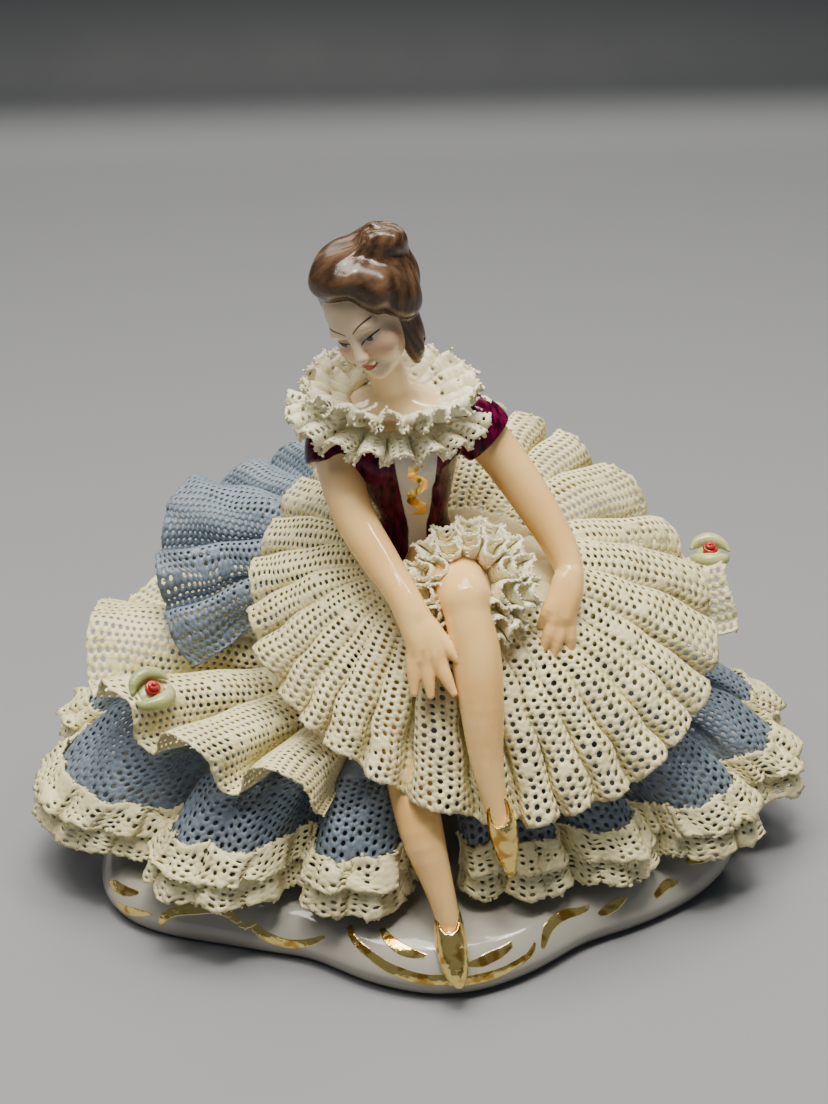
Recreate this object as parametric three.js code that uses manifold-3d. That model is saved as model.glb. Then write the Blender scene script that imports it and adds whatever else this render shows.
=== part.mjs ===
// A seated porcelain figure in lace skirts on a scrolled base, in millimetres, +Z up, facing -Y.
// The origin is the middle of the base's underside. Each piece is a closed solid in its own named mesh.
import * as THREE from "three";
import { mergeVertices } from "three/addons/utils/BufferGeometryUtils.js";
import Module from "manifold-3d";

const wasm = await Module();
wasm.setup();

// Clearance between neighbouring pieces and round the figure, and the wall of a lace flounce.
const gap = 0.3;
const figureGap = 0.45;
const laceWall = 1.1;
const degrees = Math.PI / 180;

// The base: half sizes of its squarish oval, its height, and how far the lobe under the foot reaches.
const base = {
  halfWidth: 72.5,
  halfDepth: 46,
  squareness: 3.6,
  height: 12,
  lobeEdge: 59.5,
  lobeAngle: -86 * degrees,
  lobeSpread: 28 * degrees,
  waveReach: 1.2,
  waves: 10,
  footInset: 4,
  rimHeight: 4.5,
  shoulderInset: 3.5,
  shoulderHeight: 10,
  topInset: 11,
  sides: 48,
};

// Everything above the base is measured from the base's top, so that it rises and falls with the base.
const top = base.height;

// The flounces, from the lowest to the highest. Half sizes run along X and Y, and rises start at the base's
// top.
// A flounce runs from one turn to the other, anticlockwise from +X, and its flutes are laid over that sweep.
const blueSkirt = {
  centre: [1, -1],
  hemHalf: [82, 43],
  squareness: 2.15,
  hemRise: 6.5,
  crownRise: 30,
  crownFall: 0.16,
  fullness: 4,
  from: -81 * degrees,
  to: 264 * degrees,
  flutes: 24,
  fluteDepth: 3.4,
  perFlute: 3,
  rows: 3,
};
const hemFrill = {
  wall: 1,
  tiers: [
    { topReach: 0.96, topOut: 1.7, topRise: 9.2, footOut: 3.2, footRise: 4.2 },
    { topReach: 1, topOut: 1.7, topRise: 3.4, footOut: 4.2, footRise: -3.4 },
  ],
};

const underskirt = {
  centre: [-1, -2],
  gatherHalf: [15, 12],
  hemHalf: [70.5, 42],
  squareness: 2.2,
  gatherRise: 33,
  hemRise: 48,
  leftRise: -3,
  frontDrop: 20,
  backRise: 0,
  belly: 0,
  from: 2 * degrees,
  to: 244 * degrees,
  flutes: 14,
  fluteDepth: 2.7,
  perFlute: 4,
  rows: 2,
};
const bustle = {
  centre: [-2, 5],
  gatherHalf: [13, 8.4],
  hemHalf: [54, 34],
  squareness: 2,
  gatherRise: 59,
  hemRise: 60,
  leftRise: 0,
  frontDrop: 76,
  backRise: 13,
  belly: 1,
  from: 40 * degrees,
  to: 193 * degrees,
  flutes: 6,
  fluteDepth: 3.6,
  perFlute: 5,
  rows: 2,
};
const overskirt = {
  centre: [14, -11],
  gatherShift: [-6.5, 4],
  gatherHalf: [12, 10],
  hemHalf: [49, 36.5],
  squareness: 2,
  gatherRise: 61,
  hemRise: 50,
  leftRise: 5,
  frontDrop: 25,
  backRise: 33,
  belly: 2.5,
  flutes: 26,
  fluteDepth: 2.7,
  perFlute: 3,
  rows: 2,
};

// Slow waves along a sweep that make its flutes uneven.
const uneven = {
  drift: [
    { size: 0.006, count: 3, start: 0 },
    { size: 0.004, count: 7, start: 0 },
  ],
  depth: [
    { size: 0.22, count: 4, start: 0.6 },
    { size: 0.14, count: 11, start: 0 },
  ],
};
const gatheredDepth = 0.2;

// The petticoat's small frills round the crossed thigh: each ring's half size at its foot, spread and lift.
const petticoat = {
  centre: [11, -16],
  rise: 67.5,
  rings: [
    { half: 5.2, spread: 2.4, lift: 8.4, flutes: 9 },
    { half: 8.4, spread: 3.4, lift: 6.2, flutes: 12 },
    { half: 11.6, spread: 4.2, lift: 3.6, flutes: 15 },
  ],
  tilt: 30 * degrees,
  fluteDepth: 0.8,
  wall: 0.9,
};

// The collar's two frills round the shoulders.
const collar = {
  centre: [-5, -0.5],
  rise: 97.6,
  tiltForward: 12 * degrees,
  tiltLeft: 3 * degrees,
  upper: {
    gatherHalf: [10.2, 8],
    hemHalf: [18.4, 13],
    gatherRise: 0.6,
    hemRise: 5.4,
    length: 8,
    flutes: 15,
    fluteDepth: 0.9,
  },
  lower: {
    gatherHalf: [13, 9.8],
    hemHalf: [21.6, 15],
    gatherRise: -1.6,
    hemRise: -3,
    length: 8,
    flutes: 20,
    fluteDepth: 0.8,
  },
  wall: 1,
};

// The figure's joints: X, Y, the rise above the base's top, and the radius. Right and left are its own.
const rightArm = [
  [-16.4, 1, 90.4, 4.8],
  [-15.6, -4.6, 84.6, 4.3],
  [-12.8, -11.4, 76.6, 3.9],
  [-6.6, -19.6, 70.2, 3.4],
  [-1.6, -27.6, 62.6, 2.3],
  [0.6, -31, 59.8, 2.4],
];
const leftArm = [
  [11.4, 2.4, 91, 4.8],
  [17.6, 0.4, 84.8, 4.3],
  [25.4, -5.6, 74.6, 3.8],
  [30.6, -12.4, 65.6, 3.3],
  [30.6, -18.6, 59.8, 2.1],
  [29.8, -21, 57, 2.3],
];
const crossedThigh = [
  [3.4, 3, 56, 8],
  [6, -11, 64.6, 7.4],
  [8.4, -24.8, 68.4, 6.3],
];
const crossedShin = [
  [8.4, -24.8, 68.4, 6.3],
  [10.6, -34, 56.4, 5.6],
  [12.8, -43.4, 39.8, 4.1],
  [13.8, -48.6, 30.6, 2.7],
  [14, -49.6, 28, 2.5],
];
const standingLeg = [
  [-3, 4, 52, 8],
  [-5, -10, 47.5, 7],
  [-5.4, -23, 41, 6],
  [-4, -34, 32.5, 5.3],
  [-1.6, -44.4, 21.6, 4.8],
  [1.4, -49.8, 12, 3.5],
  [3.4, -53.2, 4.6, 2.5],
];
const crossedShoe = [
  [13.9, -48.8, 29, 2.4],
  [15, -50.8, 24, 2.6],
  [15.9, -52.2, 18.4, 1.9],
  [16.3, -52.8, 15.6, 0.9],
];
const standingShoe = [
  [3.3, -51.6, 4.6, 2.5],
  [3.8, -56, 0.6, 2.9],
  [4.4, -60.4, -3, 2.2],
  [4.8, -62.6, -4.8, 1.1],
];
const torso = [
  { at: [1, 4, 27], half: [8, 7] },
  { at: [1.4, 4, 33], half: [14, 11] },
  { at: [1.6, 4, 46], half: [14, 11] },
  { at: [1, 2.6, 61], half: [9.6, 7.8] },
  { at: [0.2, 1.2, 69.5], half: [7.6, 6] },
  { at: [-1.4, 0, 78], half: [9.8, 7.4] },
  { at: [-3, -1, 86], half: [12.4, 8.4] },
  { at: [-3.4, -0.2, 92.6], half: [13.4, 7.2] },
  { at: [-3.6, 0.6, 97], half: [8.6, 5.6] },
];
const neck = [
  [-3.8, 0.8, 94, 5.2],
  [-4.8, 0.4, 101.5, 3.6],
  [-7, 0.6, 109, 3.9],
];
const head = { at: [-9.4, -1.4, 118], half: [7.9, 9.2, 10.6], yaw: -34, pitch: 12, roll: -20 };

// Parts of the head in its own frame: +X its left, -Y the way it looks, +Z its crown. Sizes are half sizes.
const faceParts = [
  { at: [0, -2, -6.4], half: [5.4, 6.4, 5.6] },
  { at: [0, -8.9, -2.6], half: [1.2, 1.8, 2.4] },
];
const hairParts = [
  { at: [0, 2.2, 6], half: [10.2, 9.8, 9.6] },
  { at: [4.6, 4.6, 12], half: [5.4, 5.4, 4.8] },
  { at: [-4.6, -4.2, 6.6], half: [4.6, 4.6, 4.4] },
  { at: [3.8, -5, 7.2], half: [6.4, 4.4, 4.2] },
  { at: [8, 1.6, 1.4], half: [3, 5, 6] },
  { at: [-7, 1.6, 1.4], half: [3, 5, 6] },
  { at: [0, 8, -1.6], half: [7, 4.6, 8] },
];
const locks = [
  [[6.6, 4.4, -3, 3.2], [6.4, 5.4, -8.6, 2.8], [5.8, 6, -13.6, 1.2]],
  [[-6.4, 5.4, -3, 3], [-6.8, 6, -8.6, 2.4], [-6.6, 6, -12.6, 1.2]],
];

// Each hand: its joints, the way the fingers lie side by side, and how far they spread at their tips.
const hands = [
  {
    wrist: [-0.4, -29, 61],
    knuckles: [2, -33.2, 56.6],
    tips: [4, -36.6, 51],
    across: [2.6, -0.9, 0.9],
    spread: 2.4,
  },
  {
    wrist: [30.3, -19.6, 58.6],
    knuckles: [29.6, -22, 55],
    tips: [28.6, -24.4, 50.6],
    across: [-2.3, -1.3, 0.6],
    spread: 1.4,
  },
];
const fingers = { count: 4, spread: 1.5, bend: 0.55, radii: [1.1, 0.95, 0.6] };
const palm = { wristRadius: 2, knuckleRadius: 2.6 };
const thumb = { rootAcross: 0.5, reach: 0.62, tipAcross: 1.15, radii: [1.2, 1.1, 0.6] };

// The two roses lie on the underskirt's hem: the angle round it, how far down, how high over it, and which
// way they face.
const roses = {
  left: { round: 199.4 * degrees, fall: 0.871, over: 4.9, turn: 30 * degrees, tilt: 28 * degrees },
  right: { round: 5.5 * degrees, fall: 0.976, over: 4.7, turn: -12 * degrees, tilt: 8 * degrees },
};
const rose = {
  bud: { at: [0, 0, 1.2], half: [1.9, 1.9, 2.5] },
  leaves: [
    { at: [0, 2.7, 0.6], half: [4.4, 2.1, 1.1] },
    { at: [0, -2.7, 0.6], half: [4.4, 2.1, 1.1] },
  ],
  foot: { at: [0, 0, -0.2], half: [3.1, 3.2, 1] },
};

const finish = {
  glazed: { color: 0xe9e6e1, roughness: 0.12, metalness: 0 },
  skin: { color: 0xe8cdb4, roughness: 0.15, metalness: 0 },
  creamLace: { color: 0xdcd8bf, roughness: 0.55, metalness: 0 },
  blueLace: { color: 0x93aecb, roughness: 0.55, metalness: 0 },
  roseGlaze: { color: 0xb2bb8c, roughness: 0.2, metalness: 0 },
};

const point = (x, y, z) => new THREE.Vector3(x, y, z);
const mix = (a, b, share) => a + (b - a) * share;

// Vertices and faces as a solid with its faces pointing out.
function solidOf(points, faces) {
  const vertProperties = new Float32Array(points.flatMap((p) => [p.x, p.y, p.z]));
  const volume = faces.reduce((sum, [a, b, c]) => {
    const area = new THREE.Vector3().crossVectors(points[b], points[c]);
    return sum + points[a].dot(area);
  }, 0);
  const outward = volume < 0 ? faces.map(([a, b, c]) => [a, c, b]) : faces;
  return new wasm.Manifold(
    new wasm.Mesh({ numProp: 3, vertProperties, triVerts: new Uint32Array(outward.flat()) }),
  );
}

// A closed solid through a stack of rings with as many points each, and a fan over each end.
function ringSolid(rings, tips = []) {
  const count = rings[0].length;
  const points = rings.flat();
  const faces = [];
  for (let i = 0; i + 1 < rings.length; i++) {
    for (let j = 0; j < count; j++) {
      const a = i * count + j;
      const b = i * count + ((j + 1) % count);
      faces.push([a, b, b + count], [a, b + count, a + count]);
    }
  }
  [0, rings.length - 1].forEach((i, end) => {
    const middle = rings[i].reduce((sum, p) => sum.add(p), point(0, 0, 0)).divideScalar(count);
    points.push(tips[end] ?? middle);
    for (let j = 0; j < count; j++) {
      const a = i * count + j;
      const b = i * count + ((j + 1) % count);
      faces.push(end ? [points.length - 1, a, b] : [points.length - 1, b, a]);
    }
  });
  return solidOf(points, faces);
}

// A wall of even thickness on both sides of a surface given over turn (0 to 1) and fall (0 to 1).
// A sheet that only makes room for another one runs past its rims by the share over.
function shellSolid(surface, { columns, rows, wall, closed, over = 0 }) {
  const step = 1e-3;
  const sides = [[], []];
  const lines = closed ? columns : columns + 1;
  for (let i = 0; i < lines; i++) {
    for (let j = 0; j <= rows; j++) {
      const turn = i / columns;
      const fall = mix(-over, 1 + over, j / rows);
      const here = surface(turn, fall);
      const along = surface(turn + step, fall).sub(surface(turn - step, fall));
      const down = surface(turn, fall + step).sub(surface(turn, fall - step));
      const out = along.cross(down).normalize().multiplyScalar(wall / 2);
      sides[0].push(here.clone().add(out));
      sides[1].push(here.clone().sub(out));
    }
  }
  const points = sides.flat();
  const other = sides[0].length;
  const at = (i, j) => (i % lines) * (rows + 1) + j;
  const faces = [];
  const quad = (a, b, c, d) => faces.push([a, b, c], [a, c, d]);
  for (let i = 0; i < columns; i++) {
    for (let j = 0; j < rows; j++) {
      quad(at(i, j), at(i + 1, j), at(i + 1, j + 1), at(i, j + 1));
      quad(other + at(i, j), other + at(i, j + 1), other + at(i + 1, j + 1), other + at(i + 1, j));
    }
    quad(at(i, 0), other + at(i, 0), other + at(i + 1, 0), at(i + 1, 0));
    quad(at(i, rows), at(i + 1, rows), other + at(i + 1, rows), other + at(i, rows));
  }
  for (let j = 0; j < rows && !closed; j++) {
    quad(at(0, j), at(0, j + 1), other + at(0, j + 1), other + at(0, j));
    quad(at(columns, j), other + at(columns, j), other + at(columns, j + 1), at(columns, j + 1));
  }
  return solidOf(points, faces);
}

// A rounded limb along joints [x, y, rise, radius], fuller by grow all round.
function limb(joints, grow, sides = 7) {
  const places = joints.map(([x, y, z]) => point(x, y, z + top));
  const curve = new THREE.CatmullRomCurve3(places, false, "centripetal");
  const last = joints.length - 1;
  const frames = curve.computeFrenetFrames(last, false);
  const along = (i, slide) => curve.getPoint(i / last).addScaledVector(frames.tangents[i], slide);
  const ring = (i, radius, slide) =>
    Array.from({ length: sides }, (_, k) => {
      const angle = (k / sides) * 2 * Math.PI;
      return along(i, slide)
        .addScaledVector(frames.normals[i], Math.cos(angle) * radius)
        .addScaledVector(frames.binormals[i], Math.sin(angle) * radius);
    });
  const radii = joints.map((joint) => joint[3] + grow);
  const shoulder = Math.SQRT1_2;
  const rings = radii.map((radius, i) => ring(i, radius, 0));
  rings.unshift(ring(0, radii[0] * shoulder, -radii[0] * shoulder));
  rings.push(ring(last, radii[last] * shoulder, radii[last] * shoulder));
  return ringSolid(rings, [along(0, -radii[0]), along(last, radii[last])]);
}

// An ellipsoid of half sizes half at a place, turned by a matrix.
function ball({ at, half }, grow, place, around = 8, up = 5) {
  const sphere = new THREE.SphereGeometry(1, around, up);
  sphere.deleteAttribute("normal");
  sphere.deleteAttribute("uv");
  sphere.scale(...half.map((size) => size + grow));
  sphere.translate(...at);
  const merged = mergeVertices(sphere.applyMatrix4(place), 1e-4);
  const corners = merged.getAttribute("position");
  const corner = (_, i) => new THREE.Vector3().fromBufferAttribute(corners, i);
  const points = Array.from({ length: corners.count }, corner);
  const index = Array.from(merged.index.array);
  const faces = Array.from({ length: index.length / 3 }, (_, i) => index.slice(3 * i, 3 * i + 3));
  return solidOf(points, faces);
}

const joined = (solids) => solids.reduce((whole, solid) => whole.add(solid));
const cutBy = (solid, others) => others.reduce((whole, other) => whole.subtract(other), solid);
const largest = (solid) => solid.decompose().reduce((a, b) => (b.volume() > a.volume() ? b : a));

// A squarish oval: how far it reaches at an angle, for half sizes along X and Y.
function ovalReach(angle, [halfX, halfY], squareness) {
  const x = Math.abs(Math.cos(angle) / halfX) ** squareness;
  const y = Math.abs(Math.sin(angle) / halfY) ** squareness;
  return (x + y) ** (-1 / squareness);
}

// Hand-laid flutes aren't even: their places drift along the sweep, and their depth varies.
const waves = (turn, parts) =>
  parts.reduce((sum, wave) => sum + wave.size * Math.sin(2 * Math.PI * wave.count * turn + wave.start), 0);
const drift = (turn) => waves(turn, uneven.drift);
const unevenDepth = (turn) => 1 + waves(turn, uneven.depth);

// A flute's height at a turn. It starts at the valley: with few columns a flute that makes the crests flat.
const fluteWave = (f, turn) => -f.fluteDepth * unevenDepth(turn) * Math.cos(2 * Math.PI * f.flutes * turn);

const sweepOf = (f) => (f.to ?? 2 * Math.PI) - (f.from ?? 0);
const angleAt = (f, turn) => (f.from ?? 0) + sweepOf(f) * (turn + drift(turn));

// The height of a hem that drops to the front and rises to the back.
const hemRiseAt = (f, angle) => {
  const across = Math.sin(angle);
  return f.hemRise - f.leftRise * Math.cos(angle) + across * (across < 0 ? f.frontDrop : f.backRise);
};

// A point of a flounce at an angle, at the height depth over its middle surface.
function flouncePoint(f, angle, fall, depth) {
  const shift = f.gatherShift ?? [0, 0];
  const reach = mix(
    ovalReach(angle, f.gatherHalf, f.squareness),
    ovalReach(angle, f.hemHalf, f.squareness),
    fall,
  );
  const slope = Math.atan2(f.gatherRise - hemRiseAt(f, angle), f.hemHalf[0] - f.gatherHalf[0]);
  const out = reach + depth * Math.sin(slope);
  const rise = mix(f.gatherRise, hemRiseAt(f, angle), fall) + f.belly * Math.sin(Math.PI * fall);
  return point(
    f.centre[0] + shift[0] * (1 - fall) + out * Math.cos(angle),
    f.centre[1] + shift[1] * (1 - fall) + out * Math.sin(angle),
    top + rise + depth * Math.cos(slope),
  );
}

// The middle surface of a fluted flounce. Its flutes deepen from the gather to the hem.
const flounce = (f) => (turn, fall) =>
  flouncePoint(f, angleAt(f, turn), fall, fluteWave(f, turn) * mix(gatheredDepth, 1, fall));

function flounceSolid(f, grow) {
  return shellSolid(flounce(f), {
    columns: f.flutes * f.perFlute,
    rows: f.rows,
    wall: laceWall + 2 * grow,
    closed: f.from === undefined,
    over: grow / (f.hemHalf[0] - f.gatherHalf[0]),
  });
}

// A point of the blue skirt, from its middle (reach 0) to its hem (reach 1), moved out by outset.
function blueSkirtPoint(turn, reach, outset = 0) {
  const angle = angleAt(blueSkirt, turn);
  const hem = ovalReach(angle, blueSkirt.hemHalf, blueSkirt.squareness);
  const out = hem * reach + fluteWave(blueSkirt, turn) * reach * reach + outset;
  return point(
    blueSkirt.centre[0] + out * Math.cos(angle),
    blueSkirt.centre[1] + out * Math.sin(angle),
    top + mix(blueSkirt.crownRise, blueSkirt.hemRise, reach ** blueSkirt.fullness),
  );
}

function blueSkirtSolid() {
  const surface = (turn, fall) => blueSkirtPoint(turn, mix(blueSkirt.crownFall, 1, fall));
  return shellSolid(surface, {
    columns: blueSkirt.flutes * blueSkirt.perFlute,
    rows: blueSkirt.rows,
    wall: laceWall,
    closed: false,
  });
}

// A narrow frill along the blue skirt's hem, which follows its flutes.
function hemFrillSolid(tier) {
  const surface = (turn, fall) => {
    const p = blueSkirtPoint(turn, mix(tier.topReach, 1, fall), mix(tier.topOut, tier.footOut, fall));
    return p.setZ(top + blueSkirt.hemRise + mix(tier.topRise, tier.footRise, fall));
  };
  return shellSolid(surface, {
    columns: blueSkirt.flutes * blueSkirt.perFlute,
    rows: 1,
    wall: hemFrill.wall,
    closed: false,
  });
}

function baseSolid() {
  const lobeReach = base.lobeEdge - base.halfDepth;
  const outline = (angle) => {
    const offset = Math.atan2(Math.sin(angle - base.lobeAngle), Math.cos(angle - base.lobeAngle));
    const lobe = lobeReach * Math.exp(-((offset / base.lobeSpread) ** 4));
    const wave = base.waveReach * Math.cos(base.waves * (angle - base.lobeAngle));
    return ovalReach(angle, [base.halfWidth, base.halfDepth], base.squareness) + lobe + wave;
  };
  const ring = (inset, height) =>
    Array.from({ length: base.sides }, (_, i) => {
      const angle = (i / base.sides) * 2 * Math.PI;
      const reach = outline(angle) - inset;
      return point(reach * Math.cos(angle), reach * Math.sin(angle), height);
    });
  const rings = [
    ring(base.footInset, 0),
    ring(base.footInset / 4, base.rimHeight / 3),
    ring(0, base.rimHeight),
    ring(base.shoulderInset / 3, (base.rimHeight + base.shoulderHeight) / 2),
    ring(base.shoulderInset, base.shoulderHeight),
    ring(base.topInset, base.height),
  ];
  return ringSolid(rings);
}

// A small frill round a tilted axis: used for the collar and the petticoat.
function tiltedFrill(f, place, wall, grow) {
  const surface = (turn, fall) => {
    const angle = turn * 2 * Math.PI;
    const wave = Math.cos(f.flutes * angle);
    const reach = mix(ovalReach(angle, f.gatherHalf, 2), ovalReach(angle, f.hemHalf, 2), fall);
    const steep = Math.abs(f.hemRise - f.gatherRise) > f.hemHalf[0] - f.gatherHalf[0];
    const depth = f.fluteDepth * fall * wave;
    return point(
      (reach + (steep ? depth : 0)) * Math.cos(angle),
      (reach + (steep ? depth : 0)) * Math.sin(angle),
      mix(f.gatherRise, f.hemRise, fall) + (steep ? 0 : depth),
    ).applyMatrix4(place);
  };
  return shellSolid(surface, {
    columns: f.flutes * 2,
    rows: 1,
    wall: wall + 2 * grow,
    closed: true,
    over: grow / f.length,
  });
}

function collarSolid(frill, grow) {
  const place = new THREE.Matrix4()
    .makeTranslation(...collar.centre, top + collar.rise)
    .multiply(new THREE.Matrix4().makeRotationX(collar.tiltForward))
    .multiply(new THREE.Matrix4().makeRotationY(collar.tiltLeft));
  return tiltedFrill(frill, place, collar.wall, grow);
}

function petticoatSolid(ring, grow) {
  const place = new THREE.Matrix4()
    .makeTranslation(...petticoat.centre, top + petticoat.rise)
    .multiply(new THREE.Matrix4().makeRotationX(petticoat.tilt));
  const frill = {
    gatherHalf: [ring.half, ring.half],
    hemHalf: [ring.half + ring.spread, ring.half + ring.spread],
    gatherRise: 0,
    hemRise: ring.lift,
    flutes: ring.flutes,
    fluteDepth: petticoat.fluteDepth,
    length: ring.spread,
  };
  return tiltedFrill(frill, place, petticoat.wall, grow);
}

function handSolid(hand, grow) {
  const places = [hand.wrist, hand.knuckles, hand.tips, hand.across];
  const [wrist, knuckles, tips, across] = places.map((place) => point(...place));
  const joint = (p, radius) => [p.x, p.y, p.z, radius];
  const digit = (from, to, radii) => {
    const middle = from.clone().lerp(to, fingers.bend);
    return limb([joint(from, radii[0]), joint(middle, radii[1]), joint(to, radii[2])], grow, 4);
  };
  const solids = [limb([joint(wrist, palm.wristRadius), joint(knuckles, palm.knuckleRadius)], grow, 6)];
  for (let k = 0; k < fingers.count; k++) {
    const side = k / (fingers.count - 1) - 0.5;
    const from = knuckles.clone().addScaledVector(across, side * fingers.spread);
    const to = tips.clone().addScaledVector(across, side * hand.spread);
    solids.push(digit(from, to, fingers.radii));
  }
  const root = wrist.clone().addScaledVector(across, thumb.rootAcross);
  const tip = root.clone().lerp(tips, thumb.reach).addScaledVector(across, thumb.tipAcross);
  solids.push(digit(root, tip, thumb.radii));
  return joined(solids);
}

function headSolid(grow) {
  const turn = new THREE.Euler(head.pitch * degrees, head.roll * degrees, head.yaw * degrees, "ZXY");
  const place = new THREE.Matrix4()
    .makeTranslation(head.at[0], head.at[1], head.at[2] + top)
    .multiply(new THREE.Matrix4().makeRotationFromEuler(turn));
  const skull = ball({ at: [0, 0, 0], half: head.half }, grow, place, 10, 7);
  const parts = [...faceParts, ...hairParts].map((part) => ball(part, grow, place));
  const lockSolids = locks.map((joints) =>
    limb(
      joints.map(([x, y, z, radius]) => {
        const p = point(x, y, z).applyMatrix4(place);
        return [p.x, p.y, p.z - top, radius];
      }),
      grow,
    ),
  );
  return joined([skull, ...parts, ...lockSolids]);
}

function torsoSolid(grow) {
  const sides = 12;
  const rings = torso.map(({ at, half }) =>
    Array.from({ length: sides }, (_, k) => {
      const angle = (k / sides) * 2 * Math.PI;
      return point(
        at[0] + (half[0] + grow) * Math.cos(angle),
        at[1] + (half[1] + grow) * Math.sin(angle),
        at[2] + top,
      );
    }),
  );
  return ringSolid(rings);
}

function figureSolid(grow) {
  const limbs = [rightArm, leftArm, crossedThigh, crossedShin, standingLeg, crossedShoe, standingShoe, neck];
  return joined([
    torsoSolid(grow),
    headSolid(grow),
    ...limbs.map((joints) => limb(joints, grow)),
    ...hands.map((hand) => handSolid(hand, grow)),
  ]);
}

function roseSolid({ round, fall, over, turn, tilt }) {
  const at = flouncePoint(underskirt, round, fall, over);
  const place = new THREE.Matrix4()
    .makeTranslation(at.x, at.y, at.z)
    .multiply(new THREE.Matrix4().makeRotationZ(turn))
    .multiply(new THREE.Matrix4().makeRotationX(tilt));
  return joined([rose.bud, ...rose.leaves, rose.foot].map((part) => ball(part, 0, place, 7, 4)));
}

// From the top down, each piece makes room for those above it.
const figure = figureSolid(0);
const figureRoom = figureSolid(figureGap);
const collarLower = largest(cutBy(collarSolid(collar.lower, 0), [figureRoom]));
const collarRoom = collarSolid(collar.lower, gap);
const collarUpper = largest(cutBy(collarSolid(collar.upper, 0), [figureRoom, collarRoom]));

const petticoatFrills = [];
const petticoatRoom = [];
for (const ring of petticoat.rings) {
  petticoatFrills.push(largest(cutBy(petticoatSolid(ring, 0), [figureRoom, ...petticoatRoom])));
  petticoatRoom.push(petticoatSolid(ring, gap));
}

const overskirtRoom = flounceSolid(overskirt, gap);
const bustleRoom = flounceSolid(bustle, gap);

const solids = {
  base: [cutBy(baseSolid(), [figureRoom]), finish.glazed],
  blue_skirt: [cutBy(blueSkirtSolid(), [figureRoom]), finish.blueLace],
  hem_frill_upper: [cutBy(hemFrillSolid(hemFrill.tiers[0]), [figureRoom]), finish.creamLace],
  hem_frill_lower: [cutBy(hemFrillSolid(hemFrill.tiers[1]), [figureRoom]), finish.creamLace],
  cream_underskirt: [cutBy(flounceSolid(underskirt, 0), [figureRoom, bustleRoom]), finish.creamLace],
  blue_bustle: [cutBy(flounceSolid(bustle, 0), [figureRoom, overskirtRoom]), finish.blueLace],
  cream_overskirt: [cutBy(flounceSolid(overskirt, 0), [figureRoom]), finish.creamLace],
  figure: [figure, finish.skin],
  collar_frill_upper: [collarUpper, finish.creamLace],
  collar_frill_lower: [collarLower, finish.creamLace],
  rose_left: [roseSolid(roses.left), finish.roseGlaze],
  rose_right: [roseSolid(roses.right), finish.roseGlaze],
};
petticoatFrills.forEach((frill, i) => {
  solids[`petticoat_frill_${i + 1}`] = [frill, finish.creamLace];
});

// A solid as a named three.js mesh.
function meshOf(name, solid, look) {
  const { vertProperties, triVerts } = solid.getMesh();
  const geometry = new THREE.BufferGeometry()
    .setAttribute("position", new THREE.BufferAttribute(vertProperties, 3))
    .setIndex(new THREE.BufferAttribute(triVerts, 1));
  geometry.computeVertexNormals();
  const mesh = new THREE.Mesh(geometry, new THREE.MeshStandardMaterial(look));
  mesh.name = name;
  return mesh;
}

const figurine = new THREE.Group();
for (const [name, [solid, look]] of Object.entries(solids)) {
  figurine.add(meshOf(name, largest(solid), look));
}

export default figurine;
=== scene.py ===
import math
from functools import partialmethod

import bpy
import numpy as np
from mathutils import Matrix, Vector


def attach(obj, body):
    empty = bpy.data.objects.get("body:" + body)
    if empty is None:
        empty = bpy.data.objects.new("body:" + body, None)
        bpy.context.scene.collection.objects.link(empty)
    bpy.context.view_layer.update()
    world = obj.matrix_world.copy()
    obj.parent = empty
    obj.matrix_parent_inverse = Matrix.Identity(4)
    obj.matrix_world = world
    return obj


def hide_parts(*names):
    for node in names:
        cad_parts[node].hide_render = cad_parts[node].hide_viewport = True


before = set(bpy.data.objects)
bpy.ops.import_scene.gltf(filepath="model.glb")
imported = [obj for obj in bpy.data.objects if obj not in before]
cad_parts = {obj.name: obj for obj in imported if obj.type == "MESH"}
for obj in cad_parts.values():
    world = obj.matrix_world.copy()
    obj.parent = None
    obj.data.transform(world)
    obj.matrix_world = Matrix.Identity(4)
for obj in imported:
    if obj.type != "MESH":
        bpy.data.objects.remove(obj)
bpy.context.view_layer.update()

scene = bpy.context.scene
mm = 0.001
fullTurn = 2 * math.pi
baseTop = 12.0  # the base's height; every rise below is counted from it
pitch = 1.55  # from one hole of the net to the next, where a flounce has no spacing of its own


# Shapes are worked out in millimetres and made metres when a mesh is built.
def mix(a, b, share):
    return a + (b - a) * share


def vec(*values):
    return np.array(values, float)


def stacked(*parts):
    return np.stack(np.broadcast_arrays(*parts), -1)


def unit(vectors):
    return vectors / np.maximum(np.linalg.norm(vectors, axis=-1, keepdims=True), 1e-9)


def softNoise(points, size, seed):
    draw = np.random.default_rng(seed)
    total = np.zeros(points.shape[:-1])
    for _ in range(7):  # crossing waves of about that length, from -1 to 1 in all
        wave = unit(draw.normal(size=3)) * fullTurn / size * draw.uniform(0.6, 1.5)
        total += np.sin(points @ wave + draw.uniform(0, fullTurn))
    return total / 3.2


def smoothCurve(joints, perSpan):
    joints = np.array(joints, float)
    ends = np.vstack([2 * joints[0] - joints[1], joints, 2 * joints[-1] - joints[-2]])
    share = np.linspace(0, 1, perSpan, endpoint=False)[:, None]
    spans = []
    for a, b, c, d in zip(ends, ends[1:], ends[2:], ends[3:]):
        spans.append(
            b + 0.5 * share * (c - a + share * (2 * a - 5 * b + 4 * c - d + share * (3 * (b - c) + d - a)))
        )
    return np.vstack([*spans, joints[-1:]])


def storeValues(mesh, values):
    for title, value in values.items():
        single = value.ndim == 1
        layer = mesh.attributes.new(title, "FLOAT" if single else "FLOAT_VECTOR", "POINT")
        layer.data.foreach_set("value" if single else "vector", value.astype(np.float32).ravel())


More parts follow.
